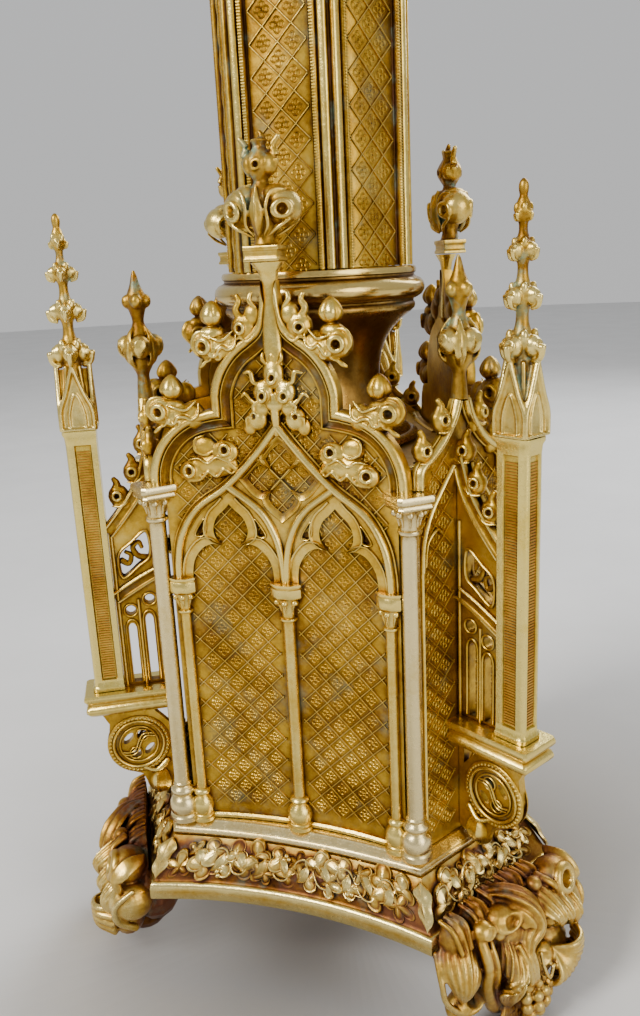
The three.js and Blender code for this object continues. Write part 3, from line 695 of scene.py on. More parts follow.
def quatrefoil():
    """The plate with a four-petalled opening between the crossing ribs."""
    petal = spline([(4.4, 4.8), (8.4, 8.4), (6.8, 13.0), (0, 18.8)], 13)
    petal = np.concatenate([petal, petal[-2::-1] * [-1, 1]])
    turns = [petal @ np.array([[c, s], [-s, c]]) for c, s in ((1, 0), (0, -1), (-1, 0), (0, 1))]
    hole = np.concatenate([ring[:-1] for ring in turns])
    middle = np.array([0, 251.6])
    half = [(0, 273), (-11, 262), (-24.6, 249), (-11.4, 237.6), (-4, 226), (0, 214)]
    outline = half + [(-x, z) for x, z in half[-2:0:-1]]
    area = np.sum(hole[:, 0] * np.roll(hole[:, 1], -1) - hole[:, 1] * np.roll(hole[:, 0], -1))
    inward = 1 if area > 0 else -1
    parts = [plate(outline, [hole[::inward] + middle], -0.4, 1.3)]
    cove = [(-0.7, -0.4), (-0.7, 1.5), (-0.2, 1.9), (0.4, 1.6), (1.2, 0.9), (2.2, 0.6), (2.6, 0.7),
        (2.9, 0.1), (2.9, -0.4)]
    widths = np.clip(np.concatenate([np.linspace(0.1, 3, 12), np.linspace(3, 0.1, 13)]), 0, 1)
    for ring in turns:
        parts.append(moulding(ring + middle, np.array(cove) * [inward, 1], widths=widths))
    return parts


def spandrel_leaf():
    """A vine leaf with a hooded eye and a wavy raised edge, on the ground beside the ogee."""
    parts = [
        ball((30, 257.4, 0.6), (11.5, 5.6, 2.9)),
        ball((24.6, 263, 0.6), (6.4, 5.6, 2.7)),
        ball((39.4, 254.8, 0.8), (6.2, 5.2, 3.2)),
        ball((33.6, 265.6, 0.4), (5.4, 4.6, 2.3)),
        torus((24.2, 264.4, 2.9), 2.2, 0.9, (0.1, 0.1, 1)),
        torus((40.6, 255.4, 3.4), 2.4, 1.0, (0.3, 0.1, 1)),
        wire([(18.5, 257, 1.6), (21.4, 254.2, 2.6), (24.8, 256.2, 3.2), (28.4, 253.0, 3.0),
            (32, 255.0, 3.3),
            (36, 251.4, 2.9), (41.6, 250.6, 2.4)], 0.75, 50),
        wire([(19, 262, 1.8), (22.6, 259.4, 2.9), (27.6, 261.4, 3.4), (32, 258.8, 3.4), (36, 260.8, 3.0),
            (41, 260.2, 2.4)], 0.6),
        wire([(29, 264, 1.8), (33, 262.2, 2.6), (37.4, 264.4, 2.2), (37.2, 269, 1.6), (33, 270.8, 1.4)],
            0.7),
        wire([(17, 252.5, 0.8), (21, 257, 1.8), (25, 261, 2.4)], 1.2),
    ]
    for k in range(4):
        turn = np.linspace(0.15, 2.2, 7)
        r = 2.4 + 1.5 * k
        curl = [38 - r * np.cos(turn) * 1.3, 251.5 + r * np.sin(turn), 3.2 - 0.35 * k + 0 * turn]
        parts.append(wire(np.column_stack(curl), 0.5, 16))
    eyes = [((24.2, 264.4, 2.9), (0.1, 0.1, 1), 1.6, 1.8), ((40.6, 255.4, 3.4), (0.3, 0.1, 1), 1.7, 2.0)]
    return casting(parts, 0.33, 1, eyes, LEAF_SHARE)


def ogee_leaf():
    """The small leaf beside the ogee's point, curling down and out."""
    parts = [
        ball((8.6, 277.8, 1.2), (4.8, 5.2, 2.9)),
        ball((6, 282.6, 1.2), (4.0, 4.2, 2.6)),
        ball((12.2, 274.4, 0.8), (3.2, 4.0, 2.2)),
        wire([(2, 279, 2), (5.4, 285.4, 2.8), (9.6, 283.5, 3.1), (9.2, 279.5, 3.5), (13, 278, 2.9),
            (12.8, 272.5, 2.6)], 0.75),
        wire([(9.6, 284, 2.4), (13, 288.4, 2.2), (15.4, 286.6, 1.6)], 0.9),
        torus((9.4, 279, 3.5), 1.5, 0.7, (0.2, 0, 1)),
    ]
    return casting(parts, 0.33, 1, [((9.4, 279, 3.5), (0.2, 0, 1), 1.2, 1.5)], LEAF_SHARE)


def ogee_finial():
    """The little flower on the ogee's point: three eyes with curled fingers."""
    parts = [
        rod([(0, 271, 1.5), (0, 280, 2.2), (0, 288, 2.6)], [1.6, 2.2, 1.8]),
        ball((0, 284, 1.8), (4.6, 3.4, 2.6)),
        ball((0, 296.5, 1.8), (4.8, 6.6, 2.7)),
        torus((0, 295.2, 4.2), 1.7, 0.85, (0, 0.1, 1), squash=1.3),
        ball((0, 303.4, 2.2), (1.7, 2.6, 1.5)),
    ]
    for side in (-1, 1):
        parts += [
            ball((side * 4.8, 289, 1.8), (4.8, 5.4, 2.8)),
            torus((side * 4.9, 287.6, 4.3), 1.8, 0.85, (side * 0.2, 0, 1), squash=1.2),
            wire([(side * 1.6, 300, 2.4), (side * 4.2, 302.6, 2.6), (side * 4, 305.6, 2.2)], 1.0),
            wire([(side * 5, 292, 2.8), (side * 8.8, 293.4, 3), (side * 10, 297.4, 2.8),
                (side * 13.4, 297, 2.4)], 1.15),
            wire([(side * 4, 285, 2.4), (side * 8.2, 284.4, 2.6), (side * 11, 286.4, 2.2)], 0.9),
        ]
    eyes = [((x, z, 4.2), (0, 0, 1), 1.3, 1.7) for x, z in ((0, 295.2), (4.9, 287.6), (-4.9, 287.6))]
    return casting(parts, 0.33, 1, eyes, LEAF_SHARE)


def outer_crocket(eye, foot, bud_top, lean=1.0):
    """A curled leaf on the gable's back with a ringed eye at its outer end and a tulip bud on top."""
    (ex, ez), (fx, fz) = eye, foot
    mid = ((ex + fx) / 2, (ez + fz) / 2)
    bx, bz = bud_top
    neck = bz - 13
    parts = [
        ball((ex - 0.8, ez - 0.4, 0.2), (6.6, 6.4, 4.6)),
        ball((mid[0], mid[1] - 0.6, 0.0), (8.4, 6.2, 4.4)),
        ball((fx - 1.0, fz + 1.6, 0), (5.6, 6.0, 3.8)),
        ball((bx + 0.5, neck - 0.6, 0), (5.6, 3.6, 3.8)),
        torus((ex, ez - 0.4, 4.4), 2.7, 1.25, (0.25 * lean, -0.05, 1), 20, 9),
        torus((ex - 0.2, ez - 0.4, -4.0), 2.7, 1.25, (0.25 * lean, -0.05, -1), 20, 9),
        torus((mid[0] - 1.0, mid[1] - 3.6, 3.6), 1.3, 0.7, (0, -0.3, 1), 14, 7),
        wire([(fx - 4.4, fz + 7.5, 2.6), (fx - 3.8, fz + 2.2, 3.7), (fx - 1, fz + 0.4, 4.0),
            (fx + 1.6, fz + 1.6, 4.2),
            (mid[0] - 1.8, mid[1] - 0.8, 4.5), (mid[0], mid[1] - 3.4, 4.1), (mid[0] + 2.4, mid[1] - 3, 4.2),
            (ex - 3.8, ez - 3.6, 4.2), (ex - 2.4, ez - 6.2, 3.4), (ex + 1.6, ez - 7.6, 2.4)], 0.8, 60),
        wire([(fx - 3.4, fz + 8.4, 2.2), (fx + 1, fz + 4.6, 3.8), (mid[0] - 1, mid[1] + 3.4, 4.4),
            (mid[0] + 2.4, mid[1] + 4.6, 3.8)], 0.7),
        wire([(ex + 3.2, ez - 4.4, 2.6), (ex + 5.4, ez, 1.8), (ex + 3.2, ez + 4.8, 1.8),
            (ex - 1.4, ez + 5.6, 2.2)], 1.0),
        wire([(ex - 1.5, ez - 5.8, 2.4), (ex + 1.4, ez - 8.4, 2.2), (ex + 3.4, ez - 9.8, 1.2)], 1.0),
        bud(bx, neck, bz, 9.6, 0.0),
    ]
    eyes = [((ex, ez - 0.4, 4.2), (0.25 * lean, -0.05, 1), 2.0, 2.4),
        ((ex, ez - 0.4, -3.8), (0, 0, -1), 2.0, 2.4)]
    return casting(parts, 0.34, 1, eyes, LEAF_SHARE)


def stalk_leaf():
    """The leaf with an upright finger beside the stalk."""
    parts = [
        ball((12, 315.4, 0.2), (6.0, 6.2, 3.8)),
        ball((8.0, 320.4, 0.2), (4.4, 5.2, 3.2)),
        torus((13.2, 315.4, 3.6), 2.0, 0.95, (0.3, 0, 1)),
        wire([(4.6, 317.5, 2.4), (7, 312.6, 3.2), (10.4, 310, 3.4), (13.4, 311.6, 3.2), (17, 309.6, 2.2)],
            0.8),
        rod(spline([(13, 319, 0.8), (15.2, 322.6, 1), (13.6, 326, 1), (14.6, 328.6, 0.8)], 12),
            np.linspace(1.9, 1.0, 12)),
        wire([(5.6, 323, 2), (8.6, 326.4, 2.2), (7.6, 330, 1.6)], 1.2),
    ]
    return casting(parts, 0.36, 1, [((13.2, 315.4, 3.6), (0.3, 0, 1), 1.4, 1.8)], LEAF_SHARE)


def slim_colonnette(x, r, low, ring, bell, top, block):
    """A small shaft with a turned base, a neck ring, a beaded bell and a block on top."""
    foot = [
        (0, low), (r * 2.3, low), (r * 2.3, low + 1.6), (r * 2.05, low + 2), (r * 2.05, low + 3),
        (r * 1.9, low + 3.4), (r * 2.15, low + 5.4), (r * 2.2, low + 8), (r * 1.95, low + 10.6),
        (r * 1.3, low + 12.6), (r * 1.2, low + 13.2), (r * 1.62, low + 14), (r * 1.7, low + 15),
        (r * 1.5, low + 16), (r * 1.02, low + 16.6), (r, low + 18), (r, ring - 1.2), (r * 1.1, ring - 1),
        (r * 1.45, ring - 0.5), (r * 1.5, ring), (r * 1.45, ring + 0.5), (r * 1.05, ring + 1),
        (r * 1.05, ring + 1.6), (r * 1.25, bell - 4), (r * 1.9, bell), (0, bell),
    ]
    parts = [turned_flat(foot, x, 0, 0.6, 20)]
    w = block / 2
    abacus = [
        (w * 0.86, bell - 0.2), (w * 0.95, bell + 0.3), (w, bell + 1), (w, top - 2.2),
        (w * 0.93, top - 1.8), (w * 0.93, top - 1.3), (w * 1.02, top - 1), (w * 1.02, top),
    ]
    angles = np.radians([-157.5, -112.5, -67.5, -22.5, 22.5, 67.5, 112.5, 157.5])
    shape = np.stack([np.sign(np.cos(angles)) * np.minimum(1, np.abs(np.cos(angles)) * 1.1),
        np.sin(angles)], -1)
    rings = [np.column_stack([x + shape[:, 0] * a, np.full(8, z), 0.6 - shape[:, 1] * a * 0.8]) for a,
        z in abacus]
    parts.append(closed_tube(rings))
    for angle in (-55, 0, 55):
        c, s = math.sin(math.radians(angle)), math.cos(math.radians(angle))
        spot = (x + c * w * 0.72, bell - 1.6, 0.6 + s * w * 0.62)
        parts.append(ball(spot, (w * 0.24, 1.5, w * 0.24), 10, 7))
        path = [(x + c * r, bell - 7, 0.6 + s * r), (x + c * r * 1.35, bell - 4, 0.6 + s * r * 1.3), spot]
        parts.append(rod(path, [0.3, 0.55, 0.6], 6, (1, 0.1, 0)))
    return parts


def in_panel(x, z):
    """Whether a point lies on the wide face's open ground."""
    x = np.abs(np.asarray(x, float))
    z = np.asarray(z, float)
    r1 = SIDE_LOBE[2] - FRAME_WIDTH - 0.4
    r2 = TOP_LOBE[2] - FRAME_WIDTH - 0.8
    lower = (x < 45.6) & (x > 4.4) & (z > 90) & (z <= 219)
    head = (z > 219) & (z < 252) & (x < 48.4)
    side = (x - SIDE_LOBE[0]) ** 2 + (z - SIDE_LOBE[1]) ** 2 < r1**2
    top = (x - TOP_LOBE[0]) ** 2 + (z - TOP_LOBE[1]) ** 2 < r2**2
    middle = (z > 219) & (z < 290) & (x < 19)
    return lower | head | (side & (z >= 251)) | (top & (z > 280)) | middle


def rising(low, gain, reach, start=0.0):
    """A tone for flat relief: low where its height is start, and gain more once it is reach higher, so that
    low relief is darkened as painted shade and raised relief lightened.
    """
    return lambda part: low + gain * np.clip((part[0][:, 2] - start) / reach, 0, 1)


def main_panel():
    shell = Shell()

    def put(part, tone):
        flat_tone = tone(part) if callable(tone) else tone
        shell.add(lay(part, wide), flat_tone)

    put(wall_slab(), 0.42)
    ground = diaper(in_panel, (-50, 50, 88, 306), LOZENGE)
    shell.lay(ground, wide)
    # the rising tones below paint shade on low relief and lighten raised relief
    for part in gable_frame():
        put(part, rising(0.3, 0.5, 3.2, 0.4))
    for part in lancet_tracery():
        for q in both(part):
            put(q, rising(0.3, 0.45, 2.2))
    for part in quatrefoil():
        put(part, rising(0.3, 0.42, 2.2))
    for line in (OGEE, INNER_RIB):
        for q in both(moulding(spline(line, 34), RIB)):
            put(q, rising(0.35, 0.55, 3.4))
    height = rising(0.25, 0.65, 5, -0.5)
    leaves = [spandrel_leaf(), ogee_leaf(), outer_crocket((51.6, 282), (38.5, 277.5), (46, 297)),
        stalk_leaf()]
    leaves.append(outer_crocket((29.6, 309), (19.6, 306.5), (26, 327)))
    for part in leaves:
        for q in both(part):
            put(q, height)
    put(ogee_finial(), height)
    stalk = [(4.4, 300), (4.4, 318), (3.4, 326), (3.2, 332), (4.4, 337.5), (7.2, 340.6), (7.4, GABLE_TOP)]
    stalk_part = lathe([(0, 300)] + stalk + [(0, GABLE_TOP)], 24)
    flat = np.stack([stalk_part[0][:, 0], stalk_part[0][:, 2], stalk_part[0][:, 1] * 0.62 + 0.6], -1)
    put(outward(flat, stalk_part[1], stalk_part[2]), 0.8)
    low = SILL_TOP + 0.3
    for x in (-48.5, 48.5):
        for part in slim_colonnette(x, 2.4, low, 190, 198.6, 206, 11.4):
            put(part, 0.85)
    for part in slim_colonnette(0, 2.8, low, 188, 198, 204.8, 14.3):
        put(part, 0.88)
    for x0, x1 in ((-46.5, -3.5), (3.5, 46.5)):
        foot = [(1.4, -0.5), (1.4, 0.8), (0.6, 1.6), (-0.6, 1.6), (-1.4, 0.9), (-1.4, -0.5)]
        put(moulding(np.column_stack([np.linspace(x0, x1, 12), np.full(12, low + 1.4)]), foot), 0.7)
    return shell


def main_finial():
    """The finial on a wide face's stalk: collar, neck, two curled hoods and a small vase-shaped flower."""
    y, z = -64.0, GABLE_TOP + 0.3
    parts, eyes = [], []
    for w, d, low, high in ((7.6, 5.4, z, z + 1.4), (7.0, 5.0, z + 1.2, z + 4.6),
        (7.7, 5.5, z + 4.4, z + 6.2)):
        parts.append(plate([(-w, y - d), (w, y - d), (w, y + d), (-w, y + d)], [], low, high))
    neck = [
        (5.2, 346), (4, 349), (3.6, 352), (4.6, 355), (5.6, 359), (5.8, 364), (4.6, 368), (3.0, 371),
        (3.2, 372.4), (4.4, 374.4), (5.4, 377), (5.2, 379.6), (3.6, 382.4), (2.6, 384.2), (3.0, 385.6),
        (3.4, 386.6), (0.4, 387.4),
    ]
    parts.append(lathe(spline(neck, 44), 28, 0, y, lambda a, k: 1 + 0.06 * np.cos(6 * a) * (k > 0.5)))
    for sx in (-1, 1):
        parts.append(ball((sx * 9.2, y, 361.4), (7.0, 7.4, 7.4), 24, 15))
        parts.append(ball((sx * 6.0, y, 366), (5.4, 6.4, 4.6), 20, 12))
        for sy in (-1, 1):
            normal = (sx * 0.42, sy, -0.08)
            spot = (sx * 10.6, y + sy * 6.3, 360.6)
            parts.append(torus(spot, 2.7, 1.2, normal, 22, 9, 1.25))
            eyes.append((spot, normal, 2.2, 2.6))
            parts.append(wire([(sx * 2, y + sy * 5, 351), (sx * 4.6, y + sy * 6.9, 355),
                (sx * 4.4, y + sy * 7.4, 362), (sx * 6.6, y + sy * 6, 367.4),
                (sx * 11, y + sy * 3.4, 368)], 0.85))
            parts.append(wire([(sx * 3, y + sy * 4, 350.6), (sx * 8, y + sy * 6, 353.6),
                (sx * 13.4, y + sy * 5, 356.8)], 0.85))
        parts.append(swept([(sx * 3.4, y, 375), (sx * 6.6, y, 380), (sx * 5.4, y, 384),
            (sx * 8.2, y, 387.6)], 2.2, 1.0, 14))
        parts.append(ball((sx * 3.6, y, 377.6), (3.4, 4.8, 4.4)))
    for sy in (-1, 1):
        tongue = [(0, y + sy * 4.4, 351), (0, y + sy * 7.6, 357), (0, y + sy * 7.6, 363),
            (0, y + sy * 5, 369.6)]
        parts.append(leaf(tongue, 6.4, 1, 1.8, -0.3, up=(0, sy, 0)))
        parts.append(torus((0, y + sy * 4.9, 377.4), 1.5, 0.7, (0, sy, 0), 16, 7, 1.3))
        eyes.append(((0, y + sy * 4.9, 377.4), (0, sy, 0), 1.2, 1.4))
    parts.append(swept([(0, y, 384), (1.4, y, 387), (0.4, y, 389.6)], 2.4, 0.8, 10))
    shell = Shell()
    melted = casting(parts, 0.4, 1, eyes)
    # painted shade: the tone is darkest at the core and lighter on the outer hoods
    radial = np.hypot(melted[0][:, 0], melted[0][:, 1] - y)
    return shell.add(melted, 0.3 + 0.45 * np.clip((radial - 3) / 9, 0, 1))


# ---------------------------------------------------------------- narrow faces, drawn facing +X


def narrow_half(z):
    z = np.asarray(z, float)
    return np.interp(z, [250, 257, 262, 266, 271, 276, 283], [27.2, 26.8, 19, 13.2, 9, 5.6, 3.4])


def in_corner(x, z):
    """Whether a point lies on the narrow face's open ground, clear of the wing's root."""
    x = np.abs(np.asarray(x, float))
    return (x > 4.6) & (x < 24.6) & (z > 88) & (x < narrow_half(z + 5.5) - 2.6)


def corner_panel():
    shell = Shell()
    rows = np.concatenate([np.linspace(SILL_TOP + 0.3, 250, 12), np.linspace(252, 282.5, 20)])
    u = np.linspace(-1, 1, 15)
    half = narrow_half(rows)[:, None]
    height = np.repeat(rows[:, None], len(u), 1)
    front = np.stack([half * u, height, np.zeros_like(height)], -1)
    back = np.stack([half * u[::-1], height, np.full_like(height, -2.9)], -1)
    shell.add(lay(closed_tube(np.concatenate([front, back], 1)), narrow), 0.4)
    ground = diaper(in_corner, (-26, 26, 86, 282), LOZENGE)
    shell.lay(ground, narrow)
    rake = [(26.2, 250), (25.4, 257.5), (18.6, 262.2), (13, 266.6), (8.6, 271.6), (5, 277), (2.6, 283)]
    for part in both(moulding(spline(rake, 30), RIB)):
        shell.add(lay(part, narrow), lay_tone(part))
    arch = [(24.4, 214), (23.6, 226), (19, 238), (11.5, 248), (4.6, 256)]
    for part in both(moulding(spline(arch, 24), half_round(2.4, 1.8))):
        shell.add(lay(part, narrow), lay_tone(part))
    cusps = [(22.6, 216), (21, 226), (15.4, 230.5), (12, 228.6)]
    for part in both(moulding(spline(cusps, 16), half_round(1.5, 1.3))):
        shell.add(lay(part, narrow), lay_tone(part))
    for part in both(moulding([(24.8, SILL_TOP + 3), (24.8, 150), (24.8, 214)], half_round(2.0, 1.7))):
        shell.add(lay(part, narrow), lay_tone(part))
    # the crockets' tone rises with height out of the face: painted shade low down, lighter on raised relief
    crockets = [small_crocket(22.6, 265), small_crocket(11.6, 276)]
    for crocket in crockets:
        for part in both(crocket):
            shell.add(lay(part, narrow), 0.3 + 0.55 * np.clip((part[0][:, 2] + 1) / 5, 0, 1))
    return shell


# tone by height out of the face: painted shade on low relief, lighter on raised relief
def lay_tone(part, low=0.4, reach=2.4):
    return low + (0.92 - low) * np.clip(part[0][:, 2] / reach, 0, 1)


def small_crocket(x, z):
    """A curled leaf with a ringed eye, on a rake or along a wing."""
    parts = [
        ball((x, z, 0), (5.0, 5.4, 3.3)),
        ball((x - 2.8, z - 3.6, 0), (4.6, 4.6, 3.0)),
        torus((x + 0.8, z + 0.4, 3.1), 1.9, 0.9, (0.2, 0.1, 1), 16, 8),
        torus((x + 0.8, z + 0.4, -3.1), 1.9, 0.9, (0.2, 0.1, -1), 16, 8),
        wire([(x - 6, z - 1, 1.8), (x - 3, z - 3.4, 3.1), (x, z - 4.8, 3.0), (x + 3.8, z - 4.4, 1.8)], 0.7),
        wire([(x - 6, z - 1, -1.8), (x - 3, z - 3.4, -3.1), (x, z - 4.8, -3.0), (x + 3.8, z - 4.4, -1.8)],
            0.7),
        rod(spline([(x + 1, z + 3, 0), (x + 0.4, z + 6, 0), (x + 1.8, z + 8.4, 0)], 8),
            np.linspace(2.4, 1.2, 8)),
    ]
    eyes = [((x + 0.8, z + 0.4, 3.1 * face), (0.2, 0.1, face), 1.4, 1.6) for face in (1, -1)]
    return casting(parts, 0.4, 1, eyes)


def corner_finial():
    """The finial on a narrow gable: a stalk, a knob of curled lobes and a small flower."""
    x = NARROW
    stem = [(3.6, 283.4), (3.2, 289), (2.8, 294), (4.2, 297), (5.6, 300), (6.2, 305), (6, 310), (4, 314),
        (2.6, 318), (3.4, 322), (4.6, 326), (4.0, 330), (2.4, 334), (1.4, 338), (0.5, 340.6)]
    parts = [lathe(spline(stem, 36), 24, x, 0)]
    for turn in range(0, 360, 90):
        c, s = math.cos(math.radians(turn)), math.sin(math.radians(turn))
        parts.append(ball((x + c * 6, s * 6.2, 307), (4.6, 4.6, 5.4)))
        parts.append(torus((x + c * 9.4, s * 9.6, 308), 2.0, 0.85, (c, s, 0.1), 16, 7))
        parts.append(ball((x + c * 3.8, s * 3.8, 327), (2.8, 2.8, 3.2)))
        parts.append(torus((x + c * 5.8, s * 5.8, 327.6), 1.2, 0.55, (c, s, 0.1), 12, 6))
        c, s = math.cos(math.radians(turn + 45)), math.sin(math.radians(turn + 45))
        path = [(x + c * 3, s * 3, 297), (x + c * 7.6, s * 7.6, 302), (x + c * 7, s * 7, 310),
            (x + c * 3, s * 3, 316)]
        parts.append(leaf(path, 5, 1, 1.5, 0.2, up=(c, s, 0)))
    shell = Shell()
    melted = casting(parts, 0.42, 1)
    # painted shade: the tone is darkest at the core and lighter on the outer lobes
    radial = np.hypot(melted[0][:, 0] - x, melted[0][:, 1])
    return shell.add(melted, 0.3 + 0.5 * np.clip((radial - 2.6) / 7, 0, 1))


# ---------------------------------------------------------------- columns


def column(angle):
    """A corner column: twin-bulbed base, plain shaft, beaded bell and block abacus."""
    low, top = SILL_TOP + 0.3, COLUMN_TOP
    x, y = COLUMN_R * math.cos(angle), COLUMN_R * math.sin(angle)
    shell = Shell()
    foot = [
        (0, low), (7.2, low), (7.2, low + 2.2), (6.7, low + 2.6), (6.4, low + 3.6), (6.9, low + 4.6),
        (7.1, low + 7), (6.7, low + 9.6), (5.4, low + 11.8), (4.6, low + 12.6), (4.5, low + 13.2),
        (5.4, low + 13.9), (5.9, low + 15.2), (5.5, low + 16.6), (4.4, low + 17.4), (4.15, low + 18.2),
        (4.5, low + 18.8), (4.5, low + 19.4), (3.9, low + 20), (3.8, low + 22),
    ]
    head = [
        (3.8, top - 17.6), (4.1, top - 17.2), (4.9, top - 16.7), (5.1, top - 16), (4.9, top - 15.3),
        (4.1, top - 14.8), (4.0, top - 13.6), (4.3, top - 11), (5.2, top - 8.2), (6.8, top - 6.4),
        (0, top - 6.2),
    ]
    shaft = [(3.8, z) for z in np.linspace(low + 24, top - 20, 9)]
    shell.add(lathe(foot + shaft + head, 32, x, y), 0.86)
    abacus = [(7.0, -6.6), (7.9, -6.0), (8.3, -5.0), (7.9, -4.3), (7.9, -3.7), (8.7, -3.0), (8.9, -2.2),
        (8.9, -0.9), (8.4, 0)]
    corners = np.array([(1, -0.82), (1, 0.82), (0.82, 1), (-0.82, 1), (-1, 0.82), (-1, -0.82),
        (-0.82, -1), (0.82, -1)])
    c, s = math.cos(angle), math.sin(angle)
    rings = []
    for r, dz in abacus:
        flat = corners * r * 0.96
        rings.append(np.column_stack([x + flat[:, 0] * c - flat[:, 1] * s,
            y + flat[:, 0] * s + flat[:, 1] * c, np.full(8, top + dz)]))
    shell.add(closed_tube(rings), 0.82)
    for k in range(8):
        a = angle + k * TAU / 8 + TAU / 16
        spot = np.array([x + 6.1 * math.cos(a), y + 6.1 * math.sin(a), top - 7.8])
        shell.add(ball(spot, (1.5, 1.5, 1.7), 10, 7), 0.9)
        base = np.array([x + 4.0 * math.cos(a), y + 4.0 * math.sin(a), top - 13.4])
        belly = np.array([x + 4.6 * math.cos(a), y + 4.6 * math.sin(a), top - 10.4])
        shell.add(rod(spline([base, belly, spot], 6), np.linspace(0.5, 0.9, 6), 7), 0.75)
    return shell


# ---------------------------------------------------------------- base


def plan_line(centre, radius, near, inset=0.0, steps=22):
    """The six-sided plan with three hollow sides, as points round it."""
    radius, near = radius + inset, near - inset
    end = math.radians(30) + math.asin((near - centre / 2) / radius)
    angle = np.linspace(-end, end, steps + 1)
    arc = np.stack([radius * np.sin(angle), radius * np.cos(angle) - centre, 0 * angle], -1)
    cut = np.linspace(0, 1, 9)[1:-1, None]
    sides = []
    for face in range(3):
        here, following = spin(arc, face * 120), spin(arc[:1], face * 120 + 120)
        sides.append(np.concatenate([here, here[-1:] * (1 - cut) + following * cut]))
    return np.concatenate(sides)


RIM = (311.0, 230.6, 105.0)
SILL = (400.0, 329.5, 91.2)


def plan_band(section):
    """A closed moulding that runs round the plan. The section lists (line, inset, height)."""
    rings = [plan_line(*line, inset=inset) + [0, 0, z] for line, inset, z in section]
    return looped_skin(rings)


def slope_place(kind):
    """How flat work is laid on the base's slope: along a face, 0 to 21 up it, and out of it."""

    def edge(line, s):
        centre, radius, near = line
        if kind == "narrow":
            end = math.radians(30) + math.asin((near - centre / 2) / radius)
            corner = radius * np.array([math.sin(end), math.cos(end)]) - [0, centre]
            half = abs(corner[0] * 0.5 + corner[1] * math.sqrt(0.75))
            return np.stack([np.full_like(s, near), s * half, 0 * s], -1)
        end = math.radians(30) + math.asin((near - centre / 2) / radius)
        return np.stack([radius * np.sin(s * end), radius * np.cos(s * end) - centre, 0 * s], -1)

    def point(s, v):
        low = edge((RIM[0], RIM[1] + 2.6, RIM[2] - 2.6), s) + [0, 0, 57.2]
        high = edge((SILL[0], SILL[1] + 0.4, SILL[2] - 0.4), s) + [0, 0, PLATE_TOP]
        sag = np.sin(math.pi * np.clip(v, 0, 1))[..., None] * 0.8
        out = high - low
        lean = unit(np.stack([out[..., 0], out[..., 1], 0 * out[..., 2]], -1))
        return low + out * v[..., None] + lean * sag * 0.5

    half = 40.0 if kind == "narrow" else 65.0

    def place(x, z, h):
        s, v = x / half, z / 21
        here = point(s, v)
        along = unit(point(s + 0.01, v) - point(s - 0.01, v))
        up = unit(point(s, v + 0.02) - point(s, v - 0.02))
        return here + np.cross(along, up) * h[..., None]

    return place


def vine_leaf(size, lobes=5, sides=40, droop=0.0):
    """A vine leaf in low relief: pointed lobes, raised veins and a turned-up edge."""
    angle = np.arange(sides) / sides * TAU
    k = (lobes * angle / 2) % math.pi
    outline = 0.5 + 0.5 * np.abs(np.cos(k)) ** 0.9
    outline *= 1 + 0.16 * np.cos(angle)
    vein = np.abs(np.cos(k)) ** 10
    verts = []
    for r, lip in ((0.12, 0), (0.38, 0), (0.62, -0.05), (0.8, -0.2), (0.9, 0.35), (0.96, 0.5), (1.0, 0.1)):
        rise = 1.5 + 0.9 * (1 - r**2) - 0.55 * r + vein * 0.5 * (1 - r * 0.5) + lip
        verts.append(np.stack([size * r * outline * np.cos(angle), size * r * outline * np.sin(angle),
            rise - droop * r], -1))
    skirt = verts[-1].copy()
    skirt[:, 2] = -0.6
    verts.append(skirt)
    rows = len(verts)
    centre = np.array([[0, 0, 2.3], [0, 0, -0.6]])
    grid = np.concatenate(verts + [centre])
    n = sides * rows
    quads = sheet_faces(rows, sides, wrap_cols=True)
    tris = np.concatenate([fan(np.arange(sides), n, True), fan(np.arange(sides) + n - sides, n + 1)])
    return outward(grid, quads, tris)


def vine_band(half, seed):
    """Overlapping vine leaves with tendrils, folded leaves and berries, flat between two plain strips."""
    draw = np.random.default_rng(seed)
    parts = []
    step = 10.6
    count = int(2 * half / step)
    xs = (np.arange(count) - (count - 1) / 2) * step
    for row, z in enumerate((7.4, 14.2)):
        for i, x in enumerate(xs):
            size = 6.9 + draw.uniform(-0.6, 0.8)
            part = vine_leaf(size, lobes=int(draw.choice([3, 3, 5])))
            part = moved(part, turn=draw.uniform(0, 360))
            part = tilted(part, draw.uniform(-20, 20), "x")
            part = tilted(part, draw.uniform(-14, 14), "y")
            spot = (x + (row - 0.5) * step / 2 + draw.uniform(-1, 1), z + draw.uniform(-0.8, 0.8),
                draw.uniform(0, 0.8))
            parts.append(moved(part, spot))
    for i, x in enumerate(xs[:-1]):
        bend = 1 if i % 2 else -1
        arc = [(x - 2, 10.6 - 4 * bend, 1.4), (x + 2, 10.6 + 4.6 * bend, 2.6),
            (x + 7, 10.6 + 5.6 * bend, 2.6), (x + 10, 10.6, 1.6)]
        parts.append(wire(arc, 0.55, 20, sides=6))
        fold = [(x + 2, 10.6 - 5.6 * bend, 1.2), (x + 4.6, 10.6 - 3 * bend, 3.2),
            (x + 6.4, 10.6 + 0.6 * bend, 3.4), (x + 7, 10.6 + 4 * bend, 1.4)]
        parts.append(leaf(fold, 4.8, 1, 1.1, -0.3, 14, 7, 0.05))
        if i % 3 == 1:
            for dx, dz in ((0, 0), (2.3, 0.4), (1.1, 1.9), (1.0, -1.9)):
                parts.append(ball((x + 5.5 + dx, 10 - 5 * bend + dz, 2.0), 1.35, 10, 6))
    return parts


